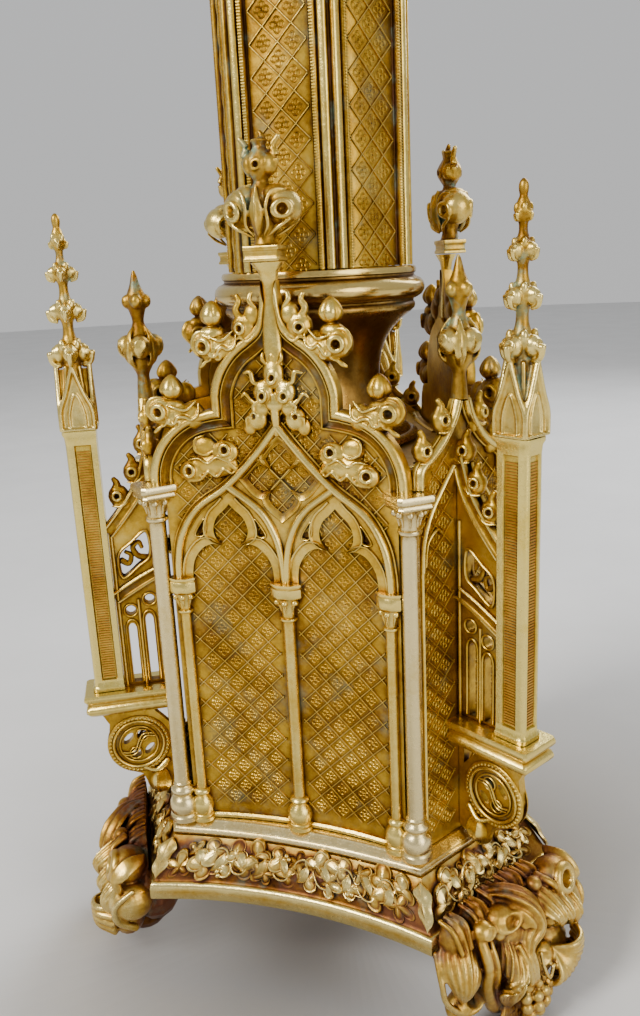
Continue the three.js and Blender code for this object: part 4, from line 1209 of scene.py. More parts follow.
def base_plate():
    shell = Shell()
    section = [
        (RIM, 0.6, RIM_BOTTOM), (RIM, 0.0, RIM_BOTTOM + 0.8), (RIM, 0.0, 52), (RIM, 0.1, 54),
        (RIM, 0.5, 55.2), (RIM, 1.3, 56.0), (RIM, 2.2, 56.2), (RIM, 2.8, 56.6), (RIM, 3.2, 57.6),
        (SILL, -5.6, 65), (SILL, -2, 71), (SILL, 0.4, PLATE_TOP), (SILL, 6, PLATE_TOP),
        (SILL, 6, PLATE_TOP - 4), (RIM, 5, 53.8), (RIM, 4.6, RIM_BOTTOM + 0.6), (RIM, 4, RIM_BOTTOM),
    ]
    # tones by row: the rim's rounded top lightest, the slope under the sill and the underside darkest, as
    # painted shade
    tones = np.repeat([0.8, 0.85, 0.6, 0.9, 0.95, 0.9, 0.4, 0.3, 0.2, 0.15, 0.15, 0.5, 0.5, 0.2, 0.2, 0.3,
        0.4], len(plan_line(*RIM)))
    shell.add(plan_band(section), tones)
    ring = plan_line(*SILL, inset=5.5)[:, :2]
    bore = 5.4 * np.stack([np.cos(np.arange(24) / 24 * TAU), np.sin(np.arange(24) / 24 * TAU)], -1)
    shell.add(plate(ring, [bore[::-1]], PLATE_TOP - 4, PLATE_TOP), 0.3)
    for kind, half, turns in (("wide", 61, (0, 120, -120)), ("narrow", 37, (-30, 90, -150))):
        for turn in turns:
            place = slope_place(kind)
            for part in vine_band(half, 511 + turn):
                # tone rises with height off the slope: painted shade between the leaves, lighter on their
                # tops
                tone = 0.22 + 0.6 * np.clip((part[0][:, 2] - 0.8) / 2.4, 0, 1)
                laid = lay(part, place)
                shell.add((spin(laid[0], turn), laid[1], laid[2]), tone)
    for side in (-1, 1):
        place = slope_place("wide")
        for turn in (0, 120, -120):
            path = [(side * 65, 20, 1.6), (side * 65.4, 14, 3.0), (side * 65.2, 7, 2.6),
                (side * 64.6, 0.5, 1.2)]
            part = leaf(path, 10, 2, 1.8, -0.2, rows=20)
            laid = lay(part, place)
            shell.add((spin(laid[0], turn), laid[1], laid[2]), 0.7)
    return shell


def sill_moulding():
    low, top = SILL_BOTTOM, SILL_TOP
    section = [
        (SILL, 2.4, low), (SILL, 1.2, low + 0.2), (SILL, 0.3, low + 0.9), (SILL, 0, low + 1.8),
        (SILL, 0.3, low + 2.7), (SILL, 1.1, low + 3.2), (SILL, 1.3, low + 3.5), (SILL, 1.2, low + 3.9),
        (SILL, 1.7, low + 4.3), (SILL, 4.2, low + 5.4), (SILL, 4.8, low + 5.9), (SILL, 5.6, top),
        (SILL, 9, top), (SILL, 9, low),
    ]
    shell = Shell().add(plan_band(section), 0.86)
    ring = plan_line(*SILL, inset=8.4)[:, :2]
    bore = 5.4 * np.stack([np.cos(np.arange(24) / 24 * TAU), np.sin(np.arange(24) / 24 * TAU)], -1)
    return shell.add(plate(ring, [bore[::-1]], low, top), 0.5)


# ---------------------------------------------------------------- feet, drawn along +X


def grape_cluster():
    """Rows of berries that hang at the front of a foot."""
    parts = []
    for z, count, reach in ((4.6, 2, 125), (9.0, 3, 129.8), (13.8, 4, 131.4), (18.4, 4, 130.8),
        (22.8, 3, 128.4)):
        for i in range(count):
            t = (i - (count - 1) / 2) * 4.9
            parts.append(ball((reach - 0.05 * t * t, t - 0.6, z), 2.9, 16, 10))
    return parts


def foot():
    """A foot cast as acanthus and vine leaves curling round a bunch of grapes."""
    parts = [
        ball((104, 0, 32), (16, 30, 20)),
        ball((104, 0, 48), (15, 37, 15)),
        ball((111, 0, 13), (13, 13, 13)),
        ball((117, -6, 44), (8, 11, 16)),
        ball((120, 0, 15), (7, 9, 12)),
    ]
    # the side towards one face: a large hood over a hollow, with a stem and a bulb beside it
    parts += [
        leaf([(104, -28, 54), (113, -33, 53), (119.5, -37, 45), (119.5, -38, 36), (113, -36, 26)], 21, 1,
            3.2, -0.6, 30, 41, 0.06,
            0.4, up=(1, -0.3, 0.2), ribs=4),
        leaf([(113, -29, 51), (121, -34, 45), (122, -37, 38), (118, -36, 30)], 8, 1, 1.8, -0.3,
            up=(1, -0.3, 0)),
        swept([(106, -43, 50), (112, -46, 40), (113, -44, 29), (115, -36, 20), (117, -29, 19),
            (118, -25, 25)], 1.4, 1.5, 26),
        swept([(108, -24, 61), (118, -27, 54), (122, -27, 43), (120, -25, 30), (118, -20, 17),
            (114, -11, 7)], 2.0, 3.6, 26),
        swept([(113, -20, 58), (121, -23, 50), (124, -23, 41), (122, -21, 28), (119, -16, 15)], 1.1, 1.6,
            24),
        ball((116.4, -24.5, 57), (5.0, 5.2, 4.8), 20, 13),
        torus((120.4, -24, 57.6), 2.4, 0.7, (1, -0.1, 0.3), 18, 7, 1.3),
        ball((119.6, -17.6, 53.6), (3.5, 3.4, 3.3)),
        ball((111, -33, 20), (6, 8, 7)),
    ]
    # ridged folds over the top, between the leaves and the base
    for t, z, high in ((-35, 55, 10), (-22, 58, 8), (-10, 60, 7), (2, 61, 7), (14, 59, 7)):
        parts.append(ball((108.5, t, z), (7, 6.4, high)))
        for k in (-1, 0, 1):
            fold = [(106, t + 3.4 * k - 2, z + high), (112.4, t + 4 * k, z + 0.7 * high),
                (116, t + 3 * k + 1, z - 0.3 * high)]
            parts.append(swept(fold, 1.1, 1.3, 16, 8))
    # a ridged, pointed leaf, the comma-shaped hood with its oval eye, and a fringed leaf at the floor
    parts += [
        leaf([(118, -12, 49), (125, -15, 42), (127, -17, 33), (125, -16, 23), (120, -12, 12)], 15, 1, 3.0,
            -0.4, 26, 33, 0.04, ribs=3),
        swept([(119, -10, 50), (127, -14, 42), (129.4, -16, 32), (127.4, -15, 22), (121, -11, 11)], 0.8,
            0.9, 22, 8),
        leaf([(106, -14, 64), (116, -9, 65.5), (125, -2, 61), (128.4, 1, 52), (127, -4, 44),
            (127, -6, 33)], 16, 1, 3.2, -0.5, 32, 31,
            0.04, up=(1, 0, 0.5), ribs=2),
        ball((117, -13, 57), (7, 9, 7.5)),
        torus((122.6, -13, 58.2), 3.4, 1.0, (1, -0.3, 0.45), 26, 9, 1.7),
    ]
    for k in (-1, 0, 1):
        parts.append(swept([(125, -7 + 3 * k, 46), (129, -6 + 2.4 * k, 37), (129.6, -4.4 + 2 * k, 28),
            (127, -2 + 2 * k, 22)], 1.3, 1.8))
    for k in range(8):
        parts.append(swept([(120, -13 + k, 15), (121.4, -17 + 2 * k, 8),
            (118 + k * 0.6, -20 + 2.7 * k, 1.6)], 1.0, 1.6, 10, 8))
    # the shield-shaped leaf above the grapes
    shield = [(129, 1, 38), (131, 1.6, 30), (132, 4.4, 24.4), (131.6, 7.6, 29), (131, 11, 24.6),
        (129, 14.6, 31)]
    parts += [ball((125, 6.6, 30), (5.4, 7, 8)), rod(spline(shield, 30), np.full(30, 0.9), 8)]
    parts += grape_cluster()
    # the other side: shell-like rolls, a striated fan and a round hood with a hole
    for t, z, size in ((12, 52, 7.4), (21, 47, 8.0), (30, 43, 7.0)):
        roll = [(108, t - 3, z + 8), (121, t, z + 8), (133 - 0.18 * t, t + 2, z + 1),
            (131 - 0.18 * t, t + 2, z - 7)]
        parts.append(leaf(roll, size * 2, 1, 3.0, -0.5, 24, 31, 0.04, 0.2, up=(1, 0.2, 0.3), ribs=3))
        parts.append(ball((121, t + 1, z - 2), (9, 6.4, 8.4)))
    for k in range(10):
        lean = math.radians(20 - 14 * k)
        c, d = math.cos(lean), math.sin(lean)
        path = [(127, 12, 33), (134, 12 + 7 * c, 32 + 7 * d), (133, 13 + 14 * c, 31 + 12 * d),
            (125, 13 + 19 * c, 30 + 16 * d)]
        parts.append(swept(path, 1.1, 1.9, 16, 8))
    parts += [
        ball((118, 20, 26), (9, 12, 12)),
        ball((115, 27, 57), (9, 10, 9), 20, 13),
        torus((122, 28, 58.4), 5.2, 2.5, (1, 0.1, 0.35), 28, 12),
        leaf([(106, 33, 64), (116, 36, 64), (122, 38, 57), (118, 39, 49)], 12, 1, 2.6, -0.5, 22, 11, 0.06,
            up=(1, 0.3, 0.6)),
        ball((115, 35, 42), (11, 8, 10), 20, 13),
        swept([(113, 42, 52), (122, 42, 45), (122, 40, 35), (114, 36, 27)], 1.2, 2.0),
        swept([(116, 14, 64), (122, 18, 61), (123, 21, 56)], 2.4, 1.4, 12),
        ball((118, 10, 63), (3.8, 3.8, 3.4)),
    ]
    eyes = [
        ((123, 28, 58.6), (1, 0.1, 0.35), 4.2, 6.0), ((123, -13, 58.4), (1, -0.3, 0.45), 3.4, 1.6),
        ((116, -29, 25), (1, -0.2, 0), 5.0, 5.0), ((127, 7, 43), (1, 0, 0), 4.0, 5.0),
        ((129, 4, 33), (1, 0.1, 0), 3.0, 1.6),
    ]
    melted = casting(parts, 0.52, 1, eyes, FOOT_SHARE)
    verts = melted[0]
    verts[:, 2] = np.maximum(verts[:, 2], 0)
    # the plate and its slope stay clear
    room = (verts[:, 2] > RIM_BOTTOM - 0.4) & (verts[:, 0] < 105.2)
    verts[room, 2] = np.minimum(verts[room, 2], RIM_BOTTOM - 0.4)
    # painted shade: the foot is darkest inward, under the base, and lightest at its outer front and sides
    radial = verts[:, 0] + 0.0085 * verts[:, 1] ** 2
    tone = 0.05 + 0.6 * np.clip((radial - 116) / 15, 0, 1)
    return Shell().add((verts, melted[1], melted[2]), tone)


# ---------------------------------------------------------------- buttresses, drawn along +X


def edgewise(part, thick=0.0):
    """Flat work turned into the plane of a wing: x becomes the distance from the axis."""
    verts = np.asarray(part[0], float)
    return np.stack([verts[:, 0], -verts[:, 2] - thick, verts[:, 1]], -1), part[1], part[2]


def ringed(centre, radius, count=20):
    a = np.arange(count) / count * TAU
    return np.stack([centre[0] + radius * np.cos(a), centre[1] + radius * np.sin(a)], -1)


def wing():
    """The pierced flying buttress between wall and pier, with its ledge, roundel and leaf bulb."""
    root, pier = NARROW + 0.3, 108.2
    ledge_low, ledge_top = 129.5, LEDGE_TOP
    flat = []

    def slot(x, top, half=1.95):
        a = np.linspace(0, math.pi, 9)
        head = np.stack([x + half * np.cos(a), top + half * 1.7 * np.sin(a)], -1)
        return np.concatenate([head, [[x - half, ledge_top + 1.5], [x + half, ledge_top + 1.5]]])

    web = [(root, ledge_top - 1), (pier, ledge_top - 1), (pier, 223.5), (101, 233), (93, 241.5),
        (90, 250), (root, 262)]
    diamond = [(103.5, 197.5), (104.5, 209), (98, 215), (90.5, 220), (89.5, 208), (95, 203)]
    web_holes = [slot(101.5, 170.5), slot(93, 174.5), ringed((92, 185.5), 2.4, 14),
        ringed((101.4, 180.6), 2.4, 14), diamond]
    flat.append(plate(web, web_holes, -2.1, 2.1))
    cx, cz = 104.5, 108.3
    bracket = [(root, 84), (94, 80.5), (101, 83), (104, 91), (112, 94.5), (118, 101), (119.5, 110),
        (118, 121), (123, ledge_low + 1), (root, ledge_low + 1)]
    bar = unit([0.88, -0.47])
    off = np.array([-bar[1], bar[0]])
    holes = [[(87.5, 127), (87.5, 117), (95.5, 126)]]
    for half in (-1, 1):
        holes.append(ringed((cx, cz) + half * (bar * -4.0 + off * 3.3), 2.5, 16))
        far = ringed((0, 0), 1.0, 16)
        far = np.outer(far[:, 0], bar * 3.4 - off * 1.0) + np.outer(far[:, 1], off * 1.8)
        holes.append((cx, cz) + half * (bar * 2.8 + off * 5.4) + far)
    flat.append(plate(bracket, holes, -2.0, 2.0))
    for face in (-1, 1):
        face_h = 2.0 * face

        def on(part, face_h=face_h, face=face):
            verts = part[0] * [1, 1, face] + [0, 0, face_h]
            return outward(verts, part[1], part[2])

        band = [(3.2, -0.6), (3.2, 1.1), (2.6, 1.7), (2.0, 1.6), (1.7, 0.9), (1.1, 0.5), (-1.1, 0.5),
            (-1.7, 0.9), (-2.0, 1.6), (-2.6, 1.7), (-3.2, 1.1), (-3.2, -0.6)]
        upper = spline([(root + 0.5, 259), (89, 247), (93.5, 238.5), (100, 230), (pier, 220.5)], 20)
        lower = spline([(root + 0.5, 199.5), (95, 195), (pier, 187.5)], 10)
        flat.append(on(moulding(upper, band)))
        flat.append(on(moulding(lower, band)))
        for x, top in ((101.5, 170.5), (93, 174.5)):
            a = np.linspace(0, math.pi, 13)
            arch = np.stack([x + 3.0 * np.cos(a), top + 5.2 * np.sin(a) ** 0.9], -1)
            line = np.concatenate([[[x + 3.0, ledge_top + 2]], arch, [[x - 3.0, ledge_top + 2]]])
            flat.append(on(moulding(line, half_round(1.3, 0.9))))
        for centre in ((92, 185.5), (101.4, 180.6)):
            flat.append(on(moulding(ringed(centre, 3.2, 18), half_round(1.2, 0.9), True)))
        flat.append(on(moulding(spline(diamond, 28, True), half_round(1.6, 1.1), True)))
        for x in (root + 1.2, pier - 1.4, 97.3):
            tall = 232 if x < 90 else 219 if x > 100 else 186
            flat.append(on(moulding([(x, ledge_top), (x, (ledge_top + tall) / 2), (x, tall)],
                half_round(1.8, 1.1))))
        ring = ringed((cx, cz), 12.6, 40)
        flat.append(on(moulding(ring, half_round(2.0, 1.4), True)))
        flat.append(on(moulding(ringed((cx, cz), 9.6, 36), half_round(1.2, 0.9), True)))
        flat.append(on(moulding(ringed((cx, cz), 14.4, 40), half_round(2.8, 0.9), True)))
        for spot in ringed((cx, cz), 14.4, 44):
            flat.append(on(ball((spot[0], spot[1], 0.5), (1.0, 1.0, 0.9), 8, 5)))
        run = np.linspace(-1, 1, 25)
        for shift in (-0.85, 0.85):
            line = (cx, cz) + np.outer(9.2 * run, bar) + np.outer(-2.6 * np.sin(math.pi * run) + shift, off)
            flat.append(on(moulding(line, half_round(1.1, 1.1))))
        for half in (-1, 1):
            eye = ringed((cx, cz) + half * (bar * -4.0 + off * 3.3), 3.1, 18)
            flat.append(on(moulding(eye, half_round(0.9, 0.8), True)))
    # a scroll in the diamond
    scroll = spline([(91, 206, 0), (95.5, 207.5, 0), (97.5, 212, 0), (94.6, 214.4, 0), (93.2, 211.4, 0)],
        20)
    flat.append(rod(scroll, np.linspace(1.7, 1.0, 20), 9))
    scroll = spline([(103.6, 206, 0), (100, 204, 0), (98.6, 208, 0), (101.2, 210, 0)], 16)
    flat.append(rod(scroll, np.linspace(1.6, 1.0, 16), 9))
    parts = [edgewise(part) for part in flat]
    # leaf bulb under the bracket
    bulb = [(0.6, 78.6), (3.4, 79.6), (5.4, 83), (5.8, 87), (4.4, 91), (2.4, 93.4), (1.6, 96)]
    parts.append(lathe(spline(bulb, 20), 20, 95.8, 0, lambda a, k: 1 + 0.14 * np.cos(5 * a)))
    for side in (-1, 1):
        parts.append(rod(spline([(91, side * 2, 97), (97, side * 3.6, 93), (103, side * 2.4, 95)], 12),
            np.linspace(1.9, 0.9, 12)))
    # the ledge, moulded all round its free edges
    edge = [(11.0, 130.6), (11.8, 131.6), (12.0, 133), (11.4, 134.4), (10.2, 135.4), (10.2, 136.2),
        (11.6, 137.2), (12.4, 138.4), (12.4, 139.8), (11.8, ledge_top)]
    rings = []
    for reach, z in [(9.4, ledge_low)] + edge:
        out = 115.6 + reach
        rings.append([(root, -reach * 0.9, z), (out - 1.2, -reach * 0.9, z), (out, -reach * 0.9 + 1.2, z),
            (out, reach * 0.9 - 1.2, z), (out - 1.2, reach * 0.9, z), (root, reach * 0.9, z)])
    shell = Shell()
    # tone rises with height out of the wing's plate: painted shade on the plate, lighter on raised
    # mouldings and leaves
    for part in parts:
        side = np.abs(part[0][:, 1])
        shell.add(part, 0.3 + 0.55 * np.clip((side - 1.8) / 2.2, 0, 1))
    shell.add(closed_tube(rings), 0.85)
    for r, z in ((87.6, 262), (93.4, 249), (101.4, 238)):
        leaf_part = edgewise(small_crocket(r, z))
        shell.add(leaf_part, 0.3 + 0.5 * np.clip((np.abs(leaf_part[0][:, 1]) - 0.8) / 2.6, 0, 1))
    return shell


def pier():
    """A square pier: chamfered edges and three sunk channels cut with fine hatching."""
    inner, outer, half = 108.5, 122.5, 5.75
    low, top = LEDGE_TOP + 0.3, PIER_TOP
    shell = Shell()
    deep = 1.1

    def section(z, sunk, grow=0.0):
        a, b, h = inner - grow * 0.3, outer + grow, half + grow
        d = deep * sunk
        return [
            (a, -h, z), (a + 2.6, -h, z), (a + 3.2, -h + d, z), (b - 4.4, -h + d, z), (b - 3.8, -h, z),
            (b - 1.7, -h, z), (b - 0.9, -h + 0.5, z), (b - 0.5, -h + 0.9, z), (b, -h + 1.9, z),
            (b, -h + 2.6, z), (b - d, -h + 3.1, z), (b - d, h - 3.1, z), (b, h - 2.6, z), (b, h - 1.9, z),
            (b - 0.5, h - 0.9, z), (b - 0.9, h - 0.5, z), (b - 1.7, h, z), (b - 3.8, h, z),
            (b - 4.4, h - d, z), (a + 3.2, h - d, z), (a + 2.6, h, z), (a, h, z),
        ]

    levels = [(low, 0, 0.9), (low + 1.8, 0, 0.9), (low + 2.6, 0, 0.2), (low + 5.6, 0, 0), (low + 6.2, 1, 0)]
    levels += [(z, 1, 0) for z in np.linspace(low + 16, top - 18, 7)]
    levels += [(top - 7.2, 1, 0), (top - 6.6, 0, 0), (top - 3, 0, 0.3), (top - 1.6, 0, 1.0), (top, 0, 1.0)]
    shell.add(closed_tube([section(*level) for level in levels]), 0.85)
    bottom, head = low + 7, top - 8
    count = int((head - bottom) / 1.25)
    zs = bottom + np.arange(count) * 1.25
    for side in (-1, 1):
        y = side * (half - deep)
        bar = plate([(inner + 3.6, y - 0.4), (outer - 4.8, y - 0.4), (outer - 4.8, y + 0.4),
            (inner + 3.6, y + 0.4)], [], 0, 0.55)
        shell.add(stamp(bar, np.column_stack([0 * zs, 0 * zs, zs])), 0.35, 1)
    x = outer - deep
    bar = plate([(x - 0.4, -2.4), (x + 0.4, -2.4), (x + 0.4, 2.4), (x - 0.4, 2.4)], [], 0, 0.55)
    shell.add(stamp(bar, np.column_stack([0 * zs, 0 * zs, zs])), 0.35, 1)
    return shell


def pinnacle():
    """The pinnacle on a pier: four steep gablets, then a spirelet with tiers of curled leaves and a bud."""
    x, low = 115.5, PIER_TOP + 0.3
    stem = [
        (6.6, low), (6.2, low + 6), (5.0, 290), (3.8, 300), (3.6, 303), (5.0, 306), (4.4, 309),
        (2.7, 314), (2.5, 319), (4.2, 323), (4.0, 326), (2.3, 331), (2.1, 336), (3.6, 339.5), (3.2, 343),
        (1.8, 347), (1.7, 350), (2.4, 352), (2.9, 355), (2.2, 358.4), (1.5, 360), (1.9, 362.4),
        (1.6, 364.6), (0.5, 366),
    ]
    parts = [lathe(spline(stem, 64), 24, x, 0)]
    for turn in range(0, 360, 90):
        gable = plate([(-7.0, low), (7.0, low), (6.6, 281), (3.6, 288), (0, 299), (-3.6, 288),
            (-6.6, 281)], [], 4.2, 7.0)
        lines = [gable]
        rake = [(-7.2, low + 1), (-6.9, 281), (-3.9, 288.4), (0, 300.5)]
        for line in (rake, [(-p[0], p[1]) for p in rake]):
            lines.append(moulding(spline(line, 16), np.array(half_round(1.9, 1.5)) + [0, 7.0]))
        lines.append(moulding(spline([(-3.4, low), (-3.2, 280), (0, 288), (3.2, 280), (3.4, low)], 18),
            np.array(half_round(1.0, 0.9)) + [0, 7.0]))
        lines.append(moulding([(-7.4, low + 0.7), (0, low + 0.7), (7.4, low + 0.7)],
            np.array(half_round(1.6, 1.6)) + [0, 7.0]))
        for part in lines:
            stood = edgewise(part)
            spun = (spin(stood[0], turn) + [x, 0, 0], stood[1], stood[2])
            parts.append(spun)
        c, s = math.cos(math.radians(turn)), math.sin(math.radians(turn))
        for r, z, size in ((4.8, 306, 4.4), (4.2, 324.4, 3.6), (3.5, 341, 2.9), (1.9, 353.6, 2.0)):
            parts.append(ball((x + c * r, s * r, z), (size * 0.78, size * 0.78, size)))
            spot = (x + c * (r + size * 0.62), s * (r + size * 0.62), z + 0.4)
            parts.append(torus(spot, size * 0.42, size * 0.19, (c, s, 0.1), 14, 7))
            tip = [(x + c * r, s * r, z - size * 1.3), (x + c * (r + size * 0.8), s * (r + size * 0.8),
                z - size), (x + c * (r + size), s * (r + size), z)]
            parts.append(rod(spline(tip, 7), np.linspace(size * 0.2, size * 0.36, 7)))
        c, s = math.cos(math.radians(turn + 45)), math.sin(math.radians(turn + 45))
        for r, z, size in ((4.6, 309.6, 2.8), (3.9, 327.4, 2.3), (3.2, 343.6, 2.0), (2.4, 355.6, 2.1)):
            parts.append(ball((x + c * r, s * r, z), (size * 0.6, size * 0.6, size)))
        parts.append(rod(spline([(x + c * 6.2, s * 6.2, low), (x + c * 5.6, s * 5.6, 284),
            (x + c * 4.0, s * 4.0, 300)], 8), np.linspace(1.4, 0.9, 8)))
    melted = casting(parts, 0.42, 1)
    # painted shade: the tone is darkest at the spirelet's core and lighter on the outer leaves and gablets
    radial = np.hypot(melted[0][:, 0] - x, melted[0][:, 1])
    grow = np.interp(melted[0][:, 2], [low, 299, 366], [8, 7, 4])
    return Shell().add(melted, 0.25 + 0.6 * np.clip((radial / grow - 0.35) / 0.6, 0, 1))


# ---------------------------------------------------------------- roof, neck and stem


def roof_plate():
    """The flat roof inside the gables, with a bore and a moulded rib near its edge."""
    outline = plan_line(280.4, 219.0, NARROW, inset=4.4)[:, :2]
    bore = 5.4 * np.stack([np.cos(np.arange(24) / 24 * TAU), np.sin(np.arange(24) / 24 * TAU)], -1)
    shell = Shell().add(plate(outline, [bore[::-1]], ROOF_TOP - 3.6, ROOF_TOP - 0.5), 0.35)
    rib = [(2.0, -0.4), (2.0, 0.5), (1.2, 1.0), (0, 1.2), (-1.2, 1.0), (-2.0, 0.5), (-2.0, -0.4)]
    inner = plan_line(280.4, 219.0, NARROW, inset=8)[:, :2]
    ring = moulding(inner, np.array(rib) * [0.7, 0.7], True)
    shell.add((ring[0] + [0, 0, ROOF_TOP - 0.6], ring[1], ring[2]), 0.7)
    return shell


def lower_neck():
    low = ROOF_TOP + 0.3
    profile = [
        (44, low), (44.4, low + 0.8), (44.4, low + 2.4), (43.2, low + 3.2), (41.2, low + 3.6),
        (40.6, low + 4.4), (39.4, 264), (35, 266.5), (31.4, 270), (29, 275), (27.4, 281), (26.8, 287),
        (27.2, 293), (28.4, 299), (30.6, 304.6), (34, 309.6), (38.4, 313.8), (42.2, 316.6), (44, 318.2),
        (44.4, 319.4), (44.2, 320.6), (43.6, 321.4), (43.8, 322.2), (45.6, 323), (47.4, 324.2),
        (48.6, 326), (48.9, 327.8), (48.4, 329.8), (47, 331.4), (45, 332.2), (44.2, 332.8), (44.2, 333.6),
        (45, 334.2), (45.2, 335.4), (44.8, NECK_TOP - 0.4), (44, NECK_TOP),
    ]
    inside = [(34, NECK_TOP), (33, 319), (25.5, 304), (24, 284), (38, low)]
    # tones by row: painted shade in the grooves and inside, lighter on the bulges
    tones = np.array([0.6] * 8 + [0.5] * 12 + [0.3, 0.3] + [0.8] * 7 + [0.45, 0.45] + [0.8] * 5 + [0.2] * 5)
    grown = profile + inside
    return Shell().add(loop_lathe(grown, 96), np.repeat(tones[: len(grown)], 96))


APOTHEM = 39.49


def stem_place(turn):
    def place(x, z, h):
        return spin(np.stack([APOTHEM + h, x, z], -1), turn)

    return place


def stem_casing():
    """A six-sided casing: hatched rolls frame a diapered field on each side."""
    low, top = NECK_TOP + 0.3, STEM_TOP
    half = [
        (-22.0, -3.2), (-20.9, -3.0), (-20.9, -0.9), (-20.4, -0.25), (-19.8, 0), (-17.9, 0),
        (-17.4, -0.35), (-17.1, -1.2), (-16.8, -1.2), (-16.5, -0.4), (-16.0, 0.35), (-15.2, 0.7),
        (-14.5, 0.35), (-14.1, -0.5), (-13.9, -1.9), (-13.4, -2.1), (-12.9, -1.8),
    ]
    side = half + [(-t, h) for t, h in half[::-1]]
    # tones across a side: painted shade in the grooves, lighter on the fillets and rolls
    tone = [0.05, 0.05, 0.4, 0.7, 0.8, 0.8, 0.4, 0.05, 0.05, 0.3, 0.5, 0.6, 0.5, 0.3, 0.05, 0.2, 0.45]
    outline, tones = [], []
    for k in range(6):
        ring = spin([(APOTHEM + h, t, 0) for t, h in side], 30 + 60 * k)
        outline.append(ring)
        tones += tone + tone[::-1]
    outline = np.concatenate(outline)
    inner = outline * (39.0 / 45.6) * np.array([0.93, 0.93, 1])
    zs = np.concatenate([[low], np.linspace(low + 2, top - 2, 9), [top]])
    skins = [outline + [0, 0, z] for z in zs] + [inner + [0, 0, top], inner + [0, 0, low]]
    shell = Shell()
    all_tones = np.concatenate([np.tile(tones, len(zs)), np.full(2 * len(outline), 0.2)])
    shell.add(looped_skin(skins), all_tones)

    def field(x, z):
        return np.abs(x) < 12.6

    ground = diaper(field, (-13, 13, low + 0.5, top - 1), 6.2, -1.8, 0.8, 0.6)
    zs = np.arange(low + 1, top - 1, 1.15)
    bar = plate([(-0.8, -0.26), (0.8, -0.26), (0.8, 0.26), (-0.8, 0.26)], [], 0.1, 0.92)
    for k in range(6):
        place = stem_place(30 + 60 * k)
        shell.lay(ground, place)
        for x in (-15.2, 15.2):
            bars = stamp(bar, np.column_stack([np.full(len(zs), x), zs, 0 * zs]))
            shell.add(lay(bars, place), 0.6)
    return shell


def knop():
    low = STEM_TOP + 0.3
    profile = [
        (46.4, low), (47.4, low + 1), (48, low + 3), (48, 546), (47, 548.6), (45.6, 549.6), (45.2, 551),
        (44.4, 552.6), (42, 553.8), (36, 556.6), (29.6, 559.4), (25.6, 562), (24.2, 564.2), (24.8, 566.6),
        (26.6, 567.6), (26.6, 569), (27.4, 570.6), (31, 574), (34.4, 578.4), (36.2, 583.6), (36.2, 587),
        (34.6, 591.6), (31, 596), (25.6, 600), (21.8, 602.2), (20.4, 604), (21.4, 605.8), (24.6, 606.6),
        (28.8, 607.6), (30, 609), (30, KNOP_TOP),
    ]
    inside = [(5.4, KNOP_TOP), (5.4, 606), (16, 600), (29, 585), (20, 562), (40, low)]
    count = 96

    # tone follows the radius: painted shade in the narrow waists and inside, lighter on the swelling parts
    tones = np.interp([r for r, _ in profile + inside], [20, 36, 48], [0.3, 0.75, 0.8])
    shell = Shell().add(loop_lathe(profile + inside, count), np.repeat(tones, count))
    # gadroons on the knop's belly and a ring of beads round its lower edge
    for k in range(18):
        turn = k * 20
        path = [(27.6, 0, 571.4), (33.4, 0, 576.4), (36.6, 0, 582), (37, 0, 587), (34.8, 0, 592)]
        rib = leaf(path, 9.5, 1, 1.8, -0.12, 14, 7, 0.05, 0.9, up=(1, 0, 0.05))
        shell.add((spin(rib[0], turn), rib[1], rib[2]), 0.78)
    for k in range(24):
        bead = ball((46.6, 0, 550.6), 1.5, 10, 6)
        shell.add((spin(bead[0], k * 15), bead[1], bead[2]), 0.8)
    return shell


def arm_crown():
    """The six-sided block that the arms are screwed to, with moulded bands and a rosette between arms."""
    low, top = KNOP_TOP + 0.3, CROWN_TOP
    a = np.radians(np.arange(6) * 60)
    corner = np.stack([np.cos(a), np.sin(a)], -1)
    section = [
        (25.0, low), (26, low + 0.7), (26, low + 2.2), (25.2, low + 3), (24, low + 3.8), (23.6, low + 5),
        (23.6, top - 5.2), (24, top - 4), (25.2, top - 3.2), (26, top - 2.4), (26, top - 0.8), (25, top),
        (5.4, top), (5.4, low),
    ]
    rings = []
    for r, z in section:
        loop = []
        for k in range(6):
            here, following = corner[k], corner[(k + 1) % 6]
            loop.append(here * 0.95 + following * 0.05)
            loop.append(here * 0.5 + following * 0.5)
            loop.append(here * 0.05 + following * 0.95)
        rings.append(np.column_stack([np.array(loop) * r, np.full(18, z)]))
    shell = Shell().add(looped_skin(rings), 0.8)
    for k in range(6):
        stud = ball((23.4, 0, (low + top) / 2), (2.6, 2.2, 5.0), 14, 9)
        shell.add((spin(stud[0], k * 60), stud[1], stud[2]), 0.75)
    return shell


def top_spindle():
    low, top = CROWN_TOP + 0.3, SPINDLE_TOP
    profile = [
        (15.4, low), (16, low + 0.7), (16, 637), (15, 638.4), (12.8, 639.2), (11.6, 640), (9.4, 641.6),
        (7.6, 644), (6.6, 648), (6, 653), (6.2, 656.4), (7.4, 657.6), (7.4, 659), (8.4, 660.6),
        (10.8, 662.8), (12.8, 666.4), (13.1, 669.6), (12.4, 672.6), (9.6, 675.6), (7.4, 677.4),
        (6.6, 679.6), (6.0, 686), (5.5, 693), (5.5, 698), (6.8, 699), (6.8, 700.6), (6.4, 702),
        (8.2, 705), (10.4, 708), (11.6, 711.6), (12.1, 714.6), (12.1, top - 0.4), (11.6, top),
    ]
    return Shell().add(lathe(profile, 64), 0.78)


# ---------------------------------------------------------------- arms, drawn along +X


